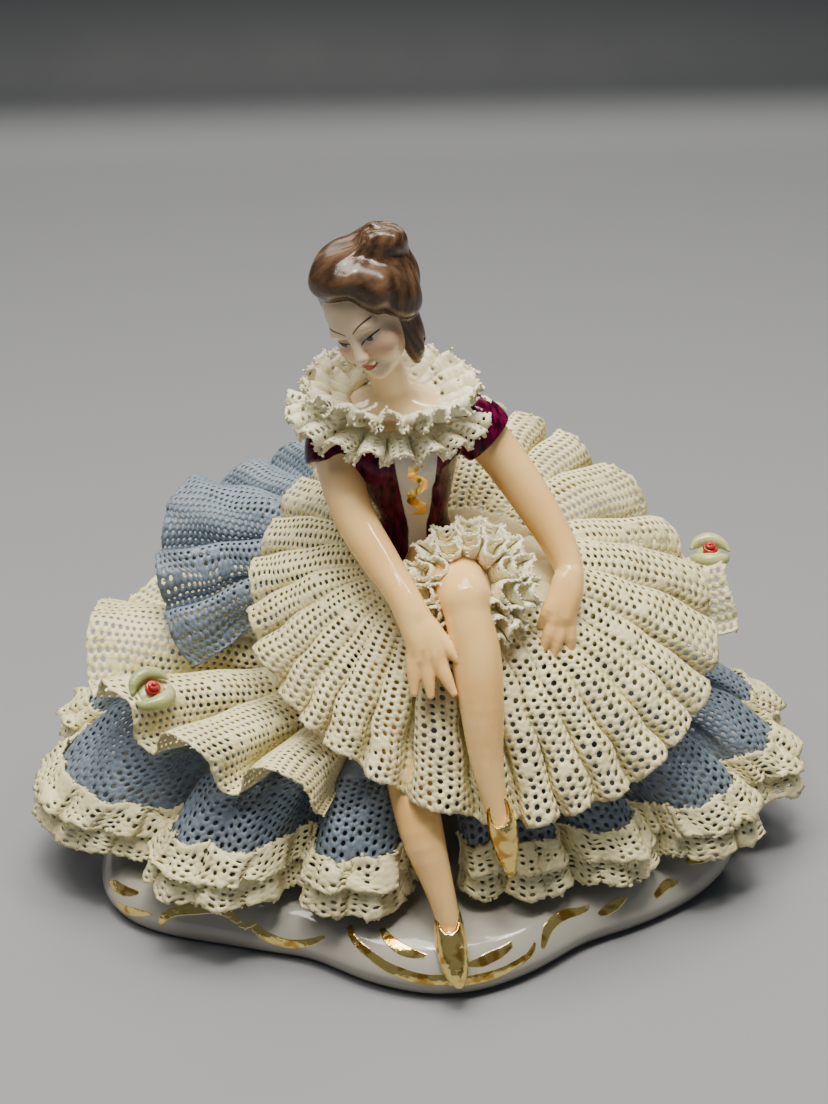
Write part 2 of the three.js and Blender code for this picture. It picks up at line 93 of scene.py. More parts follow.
def meshObject(name, points, faces, values=None):
    used, corners = np.unique(np.concatenate([part.ravel() for part in faces]), return_inverse=True)
    mesh = bpy.data.meshes.new(name)
    mesh.vertices.add(len(used))
    mesh.vertices.foreach_set("co", (points[used] * mm).astype(np.float32).ravel())
    sizes = np.concatenate([np.full(len(part), part.shape[1]) for part in faces])
    mesh.loops.add(len(corners))
    mesh.loops.foreach_set("vertex_index", corners.astype(np.int32))
    mesh.polygons.add(len(sizes))
    mesh.polygons.foreach_set("loop_start", (np.cumsum(sizes) - sizes).astype(np.int32))
    mesh.update(calc_edges=True)
    storeValues(mesh, {title: value[used] for title, value in (values or {}).items()})
    mesh.validate()
    mesh.polygons.foreach_set("use_smooth", np.ones(len(mesh.polygons), bool))
    made = bpy.data.objects.new(name, mesh)
    scene.collection.objects.link(made)
    return made


def baked(piece):
    graph = bpy.context.evaluated_depsgraph_get()
    made = bpy.data.meshes.new_from_object(piece.evaluated_get(graph), preserve_all_data_layers=True, depsgraph=graph)
    piece.modifiers.clear()
    piece.data = made
    return made


def settled(piece, slot, *nodes):
    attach(piece, "root")
    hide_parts(*nodes)
    piece.data.calc_loop_triangles()
    print(f"{piece.name}: {len(piece.data.loop_triangles)} triangles")


# Node trees: a wire carries a value and can be added, multiplied and compared like a number.
class Wire:
    def __init__(self, end):
        self.end = end

    def work(self, operation, *others):
        inputs = dict(enumerate((self, *others)))
        return wireOf(self.end.id_data, "ShaderNodeMath", inputs, operation=operation)

    __add__ = partialmethod(work, "ADD")
    __sub__ = partialmethod(work, "SUBTRACT")
    __mul__ = partialmethod(work, "MULTIPLY")
    __truediv__ = partialmethod(work, "DIVIDE")
    power = partialmethod(work, "POWER")
    size = partialmethod(work, "ABSOLUTE")
    most = partialmethod(work, "MAXIMUM")

    def over(self, low, high):  # 0 under low, 1 over high, smooth between
        inputs = {0: self, 1: low, 2: high}
        return wireOf(self.end.id_data, "ShaderNodeMapRange", inputs, interpolation_type="SMOOTHSTEP")

    def under(self, edge, blur):
        return self.over(edge + blur, edge - blur)


def plug(value, socket):
    if isinstance(value, Wire):
        socket.id_data.links.new(value.end, socket)
    else:
        socket.default_value = (*value, 1.0) if socket.type == "RGBA" else value


def nodeOf(tree, kind, inputs=None, **settings):
    node = tree.nodes.new(kind)
    for key, value in settings.items():
        setattr(node, key, value)
    for key, value in (inputs or {}).items():
        plug(value, node.inputs[key])
    return node


def wireOf(tree, kind, inputs=None, output=0, **settings):
    return Wire(nodeOf(tree, kind, inputs, **settings).outputs[output])


def attribute(tree, title, output="Fac"):
    return wireOf(tree, "ShaderNodeAttribute", output=output, attribute_name=title)


def noise(tree, scale, where=None, detail=3.0, rough=0.55):
    where = where or objectPlace(tree)
    inputs = {"Scale": scale, "Detail": detail, "Roughness": rough, "Vector": where}
    return wireOf(tree, "ShaderNodeTexNoise", inputs)


def objectPlace(tree):
    return wireOf(tree, "ShaderNodeTexCoord", output="Object")


def parts(vector):
    node = nodeOf(vector.end.id_data, "ShaderNodeSeparateXYZ", {0: vector})
    return [Wire(socket) for socket in node.outputs]


def blended(share, under, over):
    inputs = {0: share, 6: under, 7: over}
    return wireOf(share.end.id_data, "ShaderNodeMix", inputs, output=2, data_type="RGBA")


socketKinds = {float: "NodeSocketFloat", int: "NodeSocketInt", tuple: "NodeSocketColor"}


# Each input of a group has a value to start from, or the name of its kind where it can have none.
def groupOf(name, sockets, results, fill, kind="ShaderNodeTree"):
    tree = bpy.data.node_groups.new(name, kind)
    for title, start in sockets.items():
        socketKind = socketKinds.get(type(start), start)
        socket = tree.interface.new_socket(title, in_out="INPUT", socket_type=socketKind)
        if socketKind != start:
            socket.default_value = (*start, 1.0) if type(start) is tuple else start
    for title, result in results.items():
        tree.interface.new_socket(title, in_out="OUTPUT", socket_type=socketKinds.get(result, result))
    entry = tree.nodes.new("NodeGroupInput")
    ending = tree.nodes.new("NodeGroupOutput")
    made = fill(tree, {title: Wire(entry.outputs[title]) for title in sockets})
    for title in results:
        plug(made[title], ending.inputs[title])
    return tree


def placed(tree, group, **values):
    node = nodeOf(tree, "ShaderNodeGroup", node_tree=group)
    for title, value in values.items():
        plug(value, node.inputs[title])
    return {socket.name: Wire(socket) for socket in node.outputs}


# Soil: patches of old dirt, thickest where the amount is high.
def fillSoil(tree, given):
    patches = noise(tree, given["Scale"], detail=5.0, rough=0.65)
    specks = noise(tree, given["Scale"] * 6.0, detail=2.0)
    share = (patches + specks * 0.35 - 0.78 + given["Amount"]).over(0.0, 0.32)
    return {"Color": blended(share * given["Most"], given["Color"], given["Dirt"])}


soilGroup = groupOf(
    "soil",
    {"Color": (0.8, 0.8, 0.8), "Dirt": (0.4, 0.3, 0.15), "Amount": 0.0, "Most": 0.7, "Scale": 120.0},
    {"Color": tuple},
    fillSoil,
)


# Thread: the sugary crust of net dipped in slip.
def fillThread(tree, given):
    grain = noise(tree, given["Scale"], rough=0.6)
    lumps = noise(tree, given["Scale"] * 0.28, detail=2.0)
    glints = noise(tree, given["Scale"] * 0.8, detail=0.0)
    roughness = given["Roughness"] + (grain - 0.5) * 0.25 - glints.over(0.66, 0.72) * 0.35
    return {"Height": grain * 0.55 + lumps, "Roughness": roughness, "Shade": (lumps - 0.5) * 0.5 + grain * 0.5}


threadGroup = groupOf(
    "thread", {"Scale": 3000.0, "Roughness": 0.5}, {"Height": float, "Roughness": float, "Shade": float}, fillThread
)


# Glaze: a nearly even gloss with slow ripples.
def fillGlaze(tree, given):
    ripple = noise(tree, given["Scale"], detail=2.0)
    pinholes = noise(tree, given["Scale"] * 18.0, detail=1.0).over(0.72, 0.8)
    roughness = given["Roughness"] + ripple * 0.05 + pinholes * 0.1
    return {"Height": ripple - pinholes * 0.2, "Roughness": roughness}


glazeGroup = groupOf("glaze", {"Scale": 160.0, "Roughness": 0.08}, {"Height": float, "Roughness": float}, fillGlaze)


# Gilding: bright gold, worn thin in places, over what lies under it.
def fillGilding(tree, given):
    worn = noise(tree, 420.0, detail=4.0, rough=0.7).over(0.64, 0.74)
    # painted reflections: the gold tone is flecked dark and bright by noise
    paintedReflection = noise(tree, 330.0, detail=1.0).over(0.36, 0.52)
    gold = blended(paintedReflection, (0.55, 0.31, 0.055), (1.0, 0.76, 0.25))
    share = given["Mask"] * (worn * -0.55 + 1.0)
    return {"Color": blended(share, given["Color"], gold), "Metallic": share * 0.92}


gildingGroup = groupOf(
    "gilding", {"Mask": 0.0, "Color": (0.8, 0.8, 0.8)}, {"Color": tuple, "Metallic": float}, fillGilding
)


def finishOf(name, fill, **constants):
    material = bpy.data.materials.new(name)
    material.use_nodes = True
    tree = material.node_tree
    tree.nodes.clear()
    shader = nodeOf(tree, "ShaderNodeBsdfPrincipled", constants)
    ending = nodeOf(tree, "ShaderNodeOutputMaterial")
    tree.links.new(shader.outputs[0], ending.inputs[0])
    made = fill(tree)
    for title in ("Base Color", "Roughness", "Metallic", "Specular IOR Level"):
        if title in made:
            plug(made[title], shader.inputs[title])
    if "Height" in made:
        inputs = {"Height": made["Height"], "Strength": made.get("Strength", 0.5), "Distance": made["Depth"]}
        bump = nodeOf(tree, "ShaderNodeBump", inputs)
        tree.links.new(bump.outputs[0], shader.inputs["Normal"])
    return material


laceLook = {
    # palest and paleShade: the collar and petticoat lace, its own paler tone lightened further as painted light
    "palest": (0.97, 0.93, 0.68),
    "paleShade": (0.90, 0.84, 0.58),
    "creamLight": (0.90, 0.83, 0.47),
    "creamDark": (0.68, 0.61, 0.35),
    "creamDirt": (0.50, 0.39, 0.17),
    "blueLight": (0.225, 0.285, 0.355),
    "blueDark": (0.125, 0.165, 0.215),
    "blueDirt": (0.23, 0.24, 0.23),
}


def laceFill(light, dark, dirt, most, crust=0.55):
    def fill(tree):
        thread = placed(tree, threadGroup, Scale=3200.0, Roughness=0.46)
        cloud = noise(tree, 70.0) * 0.6 + thread["Shade"] * 0.5
        cloth = blended(cloud.over(0.2, 0.75), laceLook[dark], laceLook[light])
        amount = attribute(tree, "fall").over(0.72, 1.0) * 0.18 + 0.02  # most dirt lies near the hem
        soiled = placed(tree, soilGroup, Color=cloth, Dirt=laceLook[dirt], Amount=amount, Most=most, Scale=150.0)
        # painted shade: the pressed-in hearts of the filled holes are coloured towards the dark tone
        heartShade = attribute(tree, "heart").over(0.2, 0.6) * 0.55
        return {
            "Base Color": blended(heartShade, soiled["Color"], laceLook[dark]),
            "Roughness": thread["Roughness"],
            "Height": thread["Height"],
            "Strength": crust,
            "Depth": 0.00018,
        }

    return fill


creamLace = finishOf("creamLace", laceFill("creamLight", "creamDark", "creamDirt", 0.75))
# the collar and petticoat lace: its own paler tone, lightened further as painted light against the shade in its deep
# ruffles
paleLitLace = finishOf("paleLitLace", laceFill("palest", "paleShade", "creamDirt", 0.3, 1.0))
blueLace = finishOf("blueLace", laceFill("blueLight", "blueDark", "blueDirt", 0.3))


def baseFill(tree):
    glaze = placed(tree, glazeGroup, Scale=90.0, Roughness=0.07)
    white = blended(noise(tree, 40.0), (0.38, 0.365, 0.31), (0.46, 0.44, 0.39))
    height = parts(objectPlace(tree))[2]
    # painted shade: the glaze darkens and warms towards the base's foot
    white = blended(height.under(0.0045, 0.0045) * 0.6, white, (0.28, 0.25, 0.19))
    gilt = placed(tree, gildingGroup, Mask=attribute(tree, "gilding").under(0.0, 0.12), Color=white)
    return {
        "Base Color": gilt["Color"],
        "Metallic": gilt["Metallic"],
        "Roughness": glaze["Roughness"] + gilt["Metallic"] * 0.03,
        "Height": glaze["Height"] + gilt["Metallic"] * noise(tree, 420.0) * 1.6,
        "Strength": 0.35,
        "Depth": 0.0004,
    }


gildedPorcelain = finishOf("gildedPorcelain", baseFill)
print("materials made")


# What a piece of lace has unless it says otherwise: how its net is made, then how it is folded.
lace = {
    "rows": 22,
    "hole": 0.29,
    "stagger": 0.35,
    "sizeSpread": 0.08,
    "placeSpread": 0.025,
    "rim": 0.4,
    "fray": 0.25,
    "bothRims": False,
    "plainBands": 3,
    "plainRows": 8,
    "closed": False,
    "thread": {},
    "spacing": pitch,
    "give": 1,
    "step": 0.0,
    "rolls": (1, 0.0),
    "rippleSize": 11.0,
}


# The net: rows of six-sided holes, staggered from column to column, as one sheet over columns and rows.
# Each hole has a heart point in its middle, which the lace tree takes out or presses in.
def netSheet(f, columns, draw):
    rows, closed, rim = f["rows"], f["closed"], f["rim"]
    first = 0 if closed else -1
    last = columns if closed else columns + 1
    tall = rows + 2
    column, row = np.meshgrid(np.arange(first, last), np.arange(-1, rows + 1), indexing="ij")
    odd = column % 2
    size = f["hole"] * np.clip(1 + f["sizeSpread"] * draw.normal(size=column.shape), 0.7, 1.2)
    turns = np.arange(6) * fullTurn / 6
    jitter = f["placeSpread"] * draw.normal(size=(2, *column.shape))
    middleX = column + 0.5 + jitter[0]
    middleY = row + 0.5 + f["stagger"] * (odd - 0.5) + jitter[1]
    x = middleX[..., None] + size[..., None] * np.append(np.cos(turns), 0)
    y = middleY[..., None] + size[..., None] * np.append(np.sin(turns), 0)
    y[row == -1] = -rim
    y[row == rows] = rows + rim
    if not closed:
        x[column == -1] = -rim
        x[column == columns] = columns + rim
    x, y = x.ravel(), y.ravel()
    i, j, odd = column.ravel(), row.ravel(), odd.ravel()

    def number(ii, jj, corner):
        line = ii % columns if closed else ii - first
        return (line * tall + jj + 1) * 7 + corner

    def made(*corners):
        ids = []
        real = np.ones(len(i), bool)
        for stepI, stepJ, corner in corners:
            ii, jj = i + stepI, j + stepJ
            real &= (jj >= -1) & (jj <= rows)
            if not closed:
                real &= (ii >= -1) & (ii <= columns)
            ids.append(number(ii, jj, corner))
        faces = np.stack(ids, 1)[real]
        flat = np.ptp(y[faces], axis=1) < 1e-9
        if not closed:
            flat |= np.ptp(x[faces], axis=1) < 1e-9
        return faces[~flat]

    quads = [
        made((0, 0, 2), (0, 1, 4), (0, 1, 5), (0, 0, 1)),
        made((0, 0, 1), (1, odd, 3), (1, odd, 4), (0, 0, 0)),
        made((0, 0, 0), (1, odd - 1, 2), (1, odd - 1, 3), (0, 0, 5)),
    ]
    corners = [
        made((1, odd, 4), (1, odd - 1, 2), (0, 0, 0)),
        made((-1, odd - 1, 1), (-1, odd, 5), (0, 0, 3)),
    ]
    inside = (j >= 0) & (j < rows) & (closed | ((i >= 0) & (i < columns)))
    here = [i[inside], j[inside]]
    corners += [np.stack([number(*here, 6), number(*here, (k + 1) % 6), number(*here, k)], 1) for k in range(6)]
    heart = np.zeros(len(x))
    heart[number(*here, 6)] = 1

    # plain rows above the net, towards the gather
    line = np.unique(np.concatenate([part.ravel() for part in quads + corners]))
    line = line[y[line] < 1e-6 - rim]
    line = line[np.argsort(x[line])]
    bands = f["plainBands"]
    if bands:
        count = len(line)
        levels = [line]
        for band in range(bands):
            levels.append(len(x) + np.arange(count))
            x = np.append(x, x[line])
            y = np.append(y, np.full(count, -rim - f["plainRows"] * (band + 1) / bands))
            heart = np.append(heart, np.zeros(count))
        for lower, upper in zip(levels, levels[1:]):
            right = np.roll(np.arange(count), -1)[: count if closed else count - 1]
            left = np.arange(count)[: len(right)]
            quads.append(np.stack([upper[left], lower[left], lower[right], upper[right]], 1))
    fall = (y + rim + f["plainRows"]) / (rows + 2 * rim + f["plainRows"])
    return x, fall, heart, [np.vstack(quads), np.vstack(corners)]


# Folds: one wave of cloth of a fixed width, bent more the less room it has. The crests lean wide and flat.
foldSteps, foldBends = 128, 60


def foldTable(lean):
    phase = np.linspace(0, 1, foldSteps + 1)
    bends = np.linspace(0.03, 2.25, foldBends)[:, None]
    swing = np.sin(fullTurn * phase) * (1 + lean * np.cos(fullTurn * phase))
    heading = bends * swing / np.abs(swing).max()

    def summed(values):
        steps = (values[:, 1:] + values[:, :-1]) / 2 / foldSteps
        return np.hstack([np.zeros((len(values), 1)), np.cumsum(steps, 1)])

    along, rise = summed(np.cos(heading)), summed(np.sin(heading))
    return {"along": along, "rise": rise - rise.max(1, keepdims=True) / 2, "room": along[:, -1]}


def foldAt(table, phase, room):
    level = np.interp(room, table["room"][::-1], np.arange(foldBends)[::-1])
    spots = phase * foldSteps
    a, b = np.clip(level.astype(int), 0, foldBends - 2), np.clip(spots.astype(int), 0, foldSteps - 1)
    s, t = level - a, spots - b

    def sample(grid):
        return mix(mix(grid[a, b], grid[a, b + 1], t), mix(grid[a + 1, b], grid[a + 1, b + 1], t), s)

    return sample(table["along"]) / mix(table["room"][a], table["room"][a + 1], s), sample(table["rise"])


def ovalReach(angle, half, squareness):
    x = np.abs(np.cos(angle) / half[0]) ** squareness
    y = np.abs(np.sin(angle) / half[1]) ** squareness
    return (x + y) ** (-1 / squareness)


# A flounce before it is folded: its middle surface, and the way its folds stand.
def flounceMiddle(f):
    def middle(angle, fall):
        across = np.sin(angle)
        gather, foot = (ovalReach(angle, f[end], f["squareness"]) for end in ("gatherHalf", "hemHalf"))
        reach = mix(gather, foot, fall)
        drop = np.where(across < 0, f["frontDrop"], f["backRise"])
        hem = f["hemRise"] - f["leftRise"] * np.cos(angle) + across * drop
        slope = np.arctan2(f["gatherRise"] - hem, f["hemHalf"][0] - f["gatherHalf"][0])
        place = stacked(
            f["centre"][0] + f["gatherShift"][0] * (1 - fall) + reach * np.cos(angle),
            f["centre"][1] + f["gatherShift"][1] * (1 - fall) + reach * across,
            baseTop + mix(f["gatherRise"], hem, fall) + f["belly"] * np.sin(math.pi * fall),
        )
        return place, stacked(np.sin(slope) * np.cos(angle), np.sin(slope) * across, np.cos(slope))

    return middle


# The folds stand off that surface, at the gather less than at the hem. "rolls" lays smaller folds on them, and "step"
# lets each one's leading side hang.
def folded(f, middle, valleys, edges):
    table = foldTable(f["lean"])
    spacing, (rollWidth, rollDepth), (atGather, soon, power) = f["spacing"], f["rolls"], f["stand"]

    def surface(x, fall):
        flute = np.clip(np.searchsorted(edges, x, side="right") - 1, 0, len(valleys) - 2)
        width = edges[flute + 1] - edges[flute]
        phase = np.clip((x - edges[flute]) / width, 0, 1)
        here, there = valleys[flute], valleys[flute + 1]
        chord = np.linalg.norm(middle(there, fall)[0] - middle(here, fall)[0], axis=-1)
        along, rise = foldAt(table, phase, np.clip(chord / (width * spacing), 0.1, 0.985))
        reach = fall * (1 + f["step"] * (np.sin(math.pi * (1 - phase) ** 1.7) - 0.5))
        place, up = middle(here + (there - here) * along, reach)
        roll = np.abs(np.sin(math.pi * phase * np.round(width / rollWidth)))
        height = width * spacing * rise + rollDepth * (roll ** 0.7 - 0.7)
        return place + up * (height * mix(atGather, 1, fall ** soon) ** power)[:, None]

    return surface


def outwards(surface, x, fall):
    step = 0.02
    along = surface(x + step, fall) - surface(x - step, fall)
    down = surface(x, fall + step / 10) - surface(x, fall - step / 10)
    return unit(np.cross(down, along))


# The lace tree takes hearts out, presses the rest in, gives the net its thread and crumbs its hem.
def fillLace(tree, given):
    def work(kind, inputs=None, **settings):
        return wireOf(tree, "GeometryNode" + kind, inputs, **settings)

    def named(title):
        node = nodeOf(tree, "GeometryNodeInputNamedAttribute", {"Name": title}, data_type="FLOAT")
        return Wire(node.outputs["Attribute"]).work("GREATER_THAN", 0.5)

    def drawn(inputs, kind):
        node = nodeOf(tree, "FunctionNodeRandomValue", data_type=kind)
        for title, value in inputs.items():
            plug(value, node.inputs[title])
        return Wire(node.outputs["Value"])

    def chance(share, seedShift):
        seed = given["Seed"].work("ADD", seedShift)
        return share.work("GREATER_THAN", drawn({"Seed": seed}, "FLOAT"))

    def joined(*pieces):
        node = nodeOf(tree, "GeometryNodeJoinGeometry")
        for piece in pieces:
            tree.links.new(piece.end, node.inputs[0])
        return Wire(node.outputs[0])

    heart = named("heart")
    patch = noise(tree, 60.0, work("InputPosition")) - 0.5
    opened = chance(given["Open Share"] + patch * given["Patches"], 0)
    net = work("DeleteGeometry", {"Geometry": given["Net"], "Selection": heart * opened})
    raised = work("ExtrudeMesh", {"Mesh": net, "Offset Scale": given["Thread"], "Individual": False}, mode="FACES")
    under = work("FlipFaces", {"Mesh": net})
    sewn = work("MergeByDistance", {"Geometry": joined(under, raised), "Distance": 1e-6})
    inward = {0: work("InputNormal"), "Scale": given["Dimple"] * -1.0}
    inward = wireOf(tree, "ShaderNodeVectorMath", inward, operation="SCALE")
    dimpled = work("SetPosition", {"Geometry": sewn, "Selection": heart, "Offset": inward})
    crumbs = {
        "Points": net,
        "Selection": named("rim") * chance(given["Crumb Share"] + patch, 5),
        "Instance": work("MeshIcoSphere", {"Radius": given["Crumb Size"], "Subdivisions": 1}),
        "Rotation": drawn({"Min": (0, 0, 0), "Max": (6, 6, 6)}, "FLOAT_VECTOR"),
        "Scale": drawn({"Min": (0.5, 0.5, 0.5), "Max": (1.5, 1.4, 1.0)}, "FLOAT_VECTOR"),
    }
    crumbs = work("InstanceOnPoints", crumbs)
    real = work("RealizeInstances", {"Geometry": joined(crumbs, dimpled)})
    smooth = work("SetShadeSmooth", {"Geometry": real})
    return {"Lace": work("SetMaterial", {"Geometry": smooth, "Material": given["Finish"]})}


laceThread = {
    "Thread": 0.0004,
    "Open Share": 0.95,
    "Patches": 0.6,
    "Dimple": 0.00028,
    "Crumb Share": 0.15,
    "Crumb Size": 0.00028,
}
laceSockets = {"Net": "NodeSocketGeometry", **laceThread, "Seed": 1, "Finish": "NodeSocketMaterial"}
laceWork = groupOf("laceWork", laceSockets, {"Lace": "NodeSocketGeometry"}, fillLace, "GeometryNodeTree")


def worked(piece, tree, values):
    modifier = piece.modifiers.new("work", "NODES")
    modifier.node_group = tree
    for item in tree.interface.items_tree:
        if item.in_out == "INPUT" and item.name in values:
            modifier[item.identifier] = values[item.name]
    baked(piece)


def lacePiece(node, slot, finish, f, surface, columns):
    draw = np.random.default_rng(f["seed"])
    x, fall, heart, faces = netSheet(f, int(columns), draw)
    points = surface(x, np.clip(fall, 0, 1))
    rim = ((fall > 0.9999) | (f["bothRims"] & (fall < 0.0001))).astype(float)
    fray = f["fray"] * rim * draw.normal(size=len(fall))
    points = points + fray[:, None] * unit(draw.normal(size=points.shape))
    piece = meshObject(node + "_lace", points, faces, {"heart": heart, "fall": fall, "rim": rim})
    worked(piece, laceWork, {**laceThread, **f["thread"], "Seed": f["seed"], "Finish": finish})
    settled(piece, slot, node)


# Each flute has its own width of net, in whole columns; this gives the column at which each one starts.
def netEdges(f, middle, valleys):
    hems = middle(valleys, np.ones(len(valleys)))[0]
    chords = np.linalg.norm(np.diff(hems, axis=0), axis=1)
    widths = np.round(chords * f["fullness"] * f["give"] / f["spacing"])
    widths = np.maximum(widths, 4).astype(int)
    if f["closed"] and widths.sum() % 2:
        widths[0] += 1
    return np.concatenate([[0], np.cumsum(widths)])


def foldedLace(node, slot, finish, f, middle, valleys):
    edges = netEdges(f, middle, valleys)
    plain = folded(f, middle, valleys, edges)

    def surface(x, fall):
        points = plain(x, fall)
        shift = stacked(*(softNoise(points, f["rippleSize"], f["seed"] + k) for k in range(3)))
        return points + shift * (f["ripple"] * mix(0.3, 1, fall))[:, None]

    lacePiece(node, slot, finish, f, surface, edges[-1])
    return surface, edges[-1]


# The flounces: "valleys" are listed, in degrees round the middle, with more or less net between them by "give".
flounce = {**lace, "squareness": 2, "gatherShift": (0, 0), "stand": (0.4, 0.7, 1)}


def flounceLace(node, slot, finish, f):
    foldedLace(node, slot, finish, f, flounceMiddle(f), np.radians(f["valleys"]))


overskirt = {
    **flounce,
    "centre": (14, -11),
    "gatherShift": (-6.5, 4),
    "gatherHalf": (12, 10),
    "hemHalf": (49, 36.5),
    "gatherRise": 61,
    "hemRise": 50,
    "leftRise": 5,
    "frontDrop": 25,
    "backRise": 33,
    "belly": 2.5,
    "valleys": [3, 16, 28, 47, 62, 76, 90, 104, 118, 132, 146, 158, 169, 179, 189]
    + [200, 208, 215, 227, 239, 263, 278, 291, 303, 314, 326, 337, 347, 363],
    "give": [1, 1, 1, 1.05, 1, 1, 0.95, 0.95, 0.95, 0.95, 1, 1.05, 1.1, 1.1]
    + [1.05, 1.15, 1.15, 1.05, 1.05, 0.75, 0.85, 1, 1, 1.05, 1.05, 1.05, 1.1, 1],
    "step": 0.035,
    "fullness": 1.7,
    "spacing": 1.8,
    "lean": 0.8,
    "ripple": 0.5,
    "closed": True,
    "plainRows": 5,
    "seed": 11,
}
flounceLace("cream_overskirt", "cream_lace", creamLace, overskirt)

underskirt = {
    **flounce,
    "centre": (-1, -2),
    "gatherHalf": (15, 12),
    "hemHalf": (70.5, 42),
    "squareness": 2.2,
    "gatherRise": 33,
    "hemRise": 48,
    "leftRise": -3,
    "frontDrop": 20,
    "backRise": -12,
    "belly": 0,
    "valleys": [-6, 14, 28, 44, 65, 86, 101, 117, 132, 146, 162, 190, 205, 222, 243],
    "give": [1.05, 0.95, 1, 0.95, 0.95, 0.9, 0.95, 0.9, 0.9, 0.76, 0.78, 1, 1.1, 1.1],
    "fullness": 1.45,
    "spacing": 1.75,
    "lean": 0.6,
    "stand": (0.3, 0.7, 1),
    "ripple": 0.6,
    "plainRows": 12,
    "seed": 23,
}
flounceLace("cream_underskirt", "cream_lace", creamLace, underskirt)

bustle = {
    **flounce,
    "centre": (-2, 5),
    "gatherHalf": (13, 8.4),
    "hemHalf": (54, 34),
    "gatherRise": 59,
    "hemRise": 60,
    "leftRise": 0,
    "frontDrop": 58,
    "backRise": 11,
    "belly": 1,
    "valleys": [40, 64, 90, 115, 135, 151, 178, 189, 198],
    "give": [1, 1, 0.95, 0.75, 0.72, 1, 0.95, 0.9],
    "fullness": 1.5,
    "spacing": 1.5,
    "lean": 0.5,
    "ripple": 0.8,
    "hole": 0.27,
    "plainRows": 8,
    "seed": 37,
}
flounceLace("blue_bustle", "blue_lace", blueLace, bustle)
print("flounces made")


# The blue skirt: its valleys are listed in front and on the left, between the box pleats, and even at the back.
blueSkirt = {
    **lace,
    "centre": (1, -1),
    "hemHalf": (82, 43),
    "squareness": 2.15,
    "hemRise": 6.5,
    "crownRise": 30,
    "crownFall": 0.16,
    "fullness": 1.5,
    "roundness": 6.0,
    "frontValleys": [-81, -72, -54, -36, -16, 0],
    "backValleys": 12,
    "leftValleys": [174, 206, 234, 264],
    "give": [1] * 17 + [0.74, 1, 1],
    "lean": 0.85,
    "rolls": (6, 1.5),
    "stand": (0.16, 1, 2),
    "ripple": 0.5,
    "rippleSize": 14.0,
    "rows": 13,
    "plainRows": 26,
    "plainBands": 5,
    "seed": 51,
}


def blueMiddle(angle, fall):
    reach = mix(blueSkirt["crownFall"], 1, fall)
    out = ovalReach(angle, blueSkirt["hemHalf"], blueSkirt["squareness"]) * reach
    place = stacked(
        blueSkirt["centre"][0] + out * np.cos(angle),
        blueSkirt["centre"][1] + out * np.sin(angle),
        baseTop + mix(blueSkirt["crownRise"], blueSkirt["hemRise"], reach ** blueSkirt["roundness"]),
    )
    return place, stacked(np.cos(angle), np.sin(angle), 0 * angle)


front, left = blueSkirt["frontValleys"], blueSkirt["leftValleys"]
back = np.linspace(front[-1], left[0], blueSkirt["backValleys"] + 1)[1:-1]
blueValleys = np.radians([*front, *back, *left])
blueSurface, blueColumns = foldedLace("blue_skirt", "blue_lace", blueLace, blueSkirt, blueMiddle, blueValleys)

# The hem frills follow the blue skirt's folds, each from its top to its foot, and are laid in flat pleats of uneven
# width: a tier climbs along a pleat and drops back at its end.
hemFrill = {
    **lace,
    "fullness": 1.1,
    "tiers": {
        "hem_frill_upper": {"topReach": 0.93, "out": (0.4, 1.9), "rise": (9.0, 3.6), "seed": 60},
        "hem_frill_lower": {"topReach": 0.975, "out": (0.5, 2.6), "rise": (3.9, -2.2), "seed": 61},
    },
    "pleatWidths": (3.0, 6.5),
    "pleatsAtMost": 400,
    "climbShare": 0.82,
    "dropShare": 0.18,
    "tuck": 1.3,
    "climb": 1.7,
    "lift": 0.6,
    "least": 0.6,
    "waver": 0.7,
    "waverSize": 7.0,
    "rows": 4,
    "plainRows": 0.4,
    "plainBands": 1,
    "fray": 0.4,
    "bothRims": True,
    "thread": {"Thread": 0.0006, "Open Share": 0.7, "Patches": 1.2, "Crumb Share": 0.3, "Crumb Size": 0.00045},
}


def hemFrillSurface(f):
    draw = np.random.default_rng(f["seed"])
    pleats = np.cumsum(draw.uniform(*f["pleatWidths"], f["pleatsAtMost"]))

    def surface(x, fall):
        spot = np.clip(x / f["fullness"], 0, blueColumns)
        reach = mix(f["topReach"], 1, fall)
        skirtFall = (reach - blueSkirt["crownFall"]) / (1 - blueSkirt["crownFall"])
        pleat = np.clip(np.searchsorted(pleats, spot, side="right") - 1, 0, len(pleats) - 2)
        phase = np.clip((spot - pleats[pleat]) / (pleats[pleat + 1] - pleats[pleat]), 0, 1)
        drop = np.clip((phase - f["climbShare"]) / f["dropShare"], 0, 1)
        climb = phase - drop * drop * (3 - 2 * drop) - f["climbShare"] / 2
        spot = np.clip(spot - f["tuck"] * drop * (1 - drop), 0, blueColumns)
        place = blueSurface(spot, skirtFall)
        out = outwards(blueSurface, spot, skirtFall)
        out[:, 2] = 0
        away = mix(*f["out"], fall) + f["climb"] * climb
        place = place + unit(out) * np.maximum(away, f["least"])[:, None]
        place[:, 2] = baseTop + blueSkirt["hemRise"] + mix(*f["rise"], fall)
        place[:, 2] += f["waver"] * softNoise(place, f["waverSize"], f["seed"]) + f["lift"] * climb
        return place

    return surface


for node, tier in hemFrill["tiers"].items():
    f = {**hemFrill, **tier}
    lacePiece(node, "cream_lace", creamLace, f, hemFrillSurface(f), blueColumns * f["fullness"])
print("skirts made")


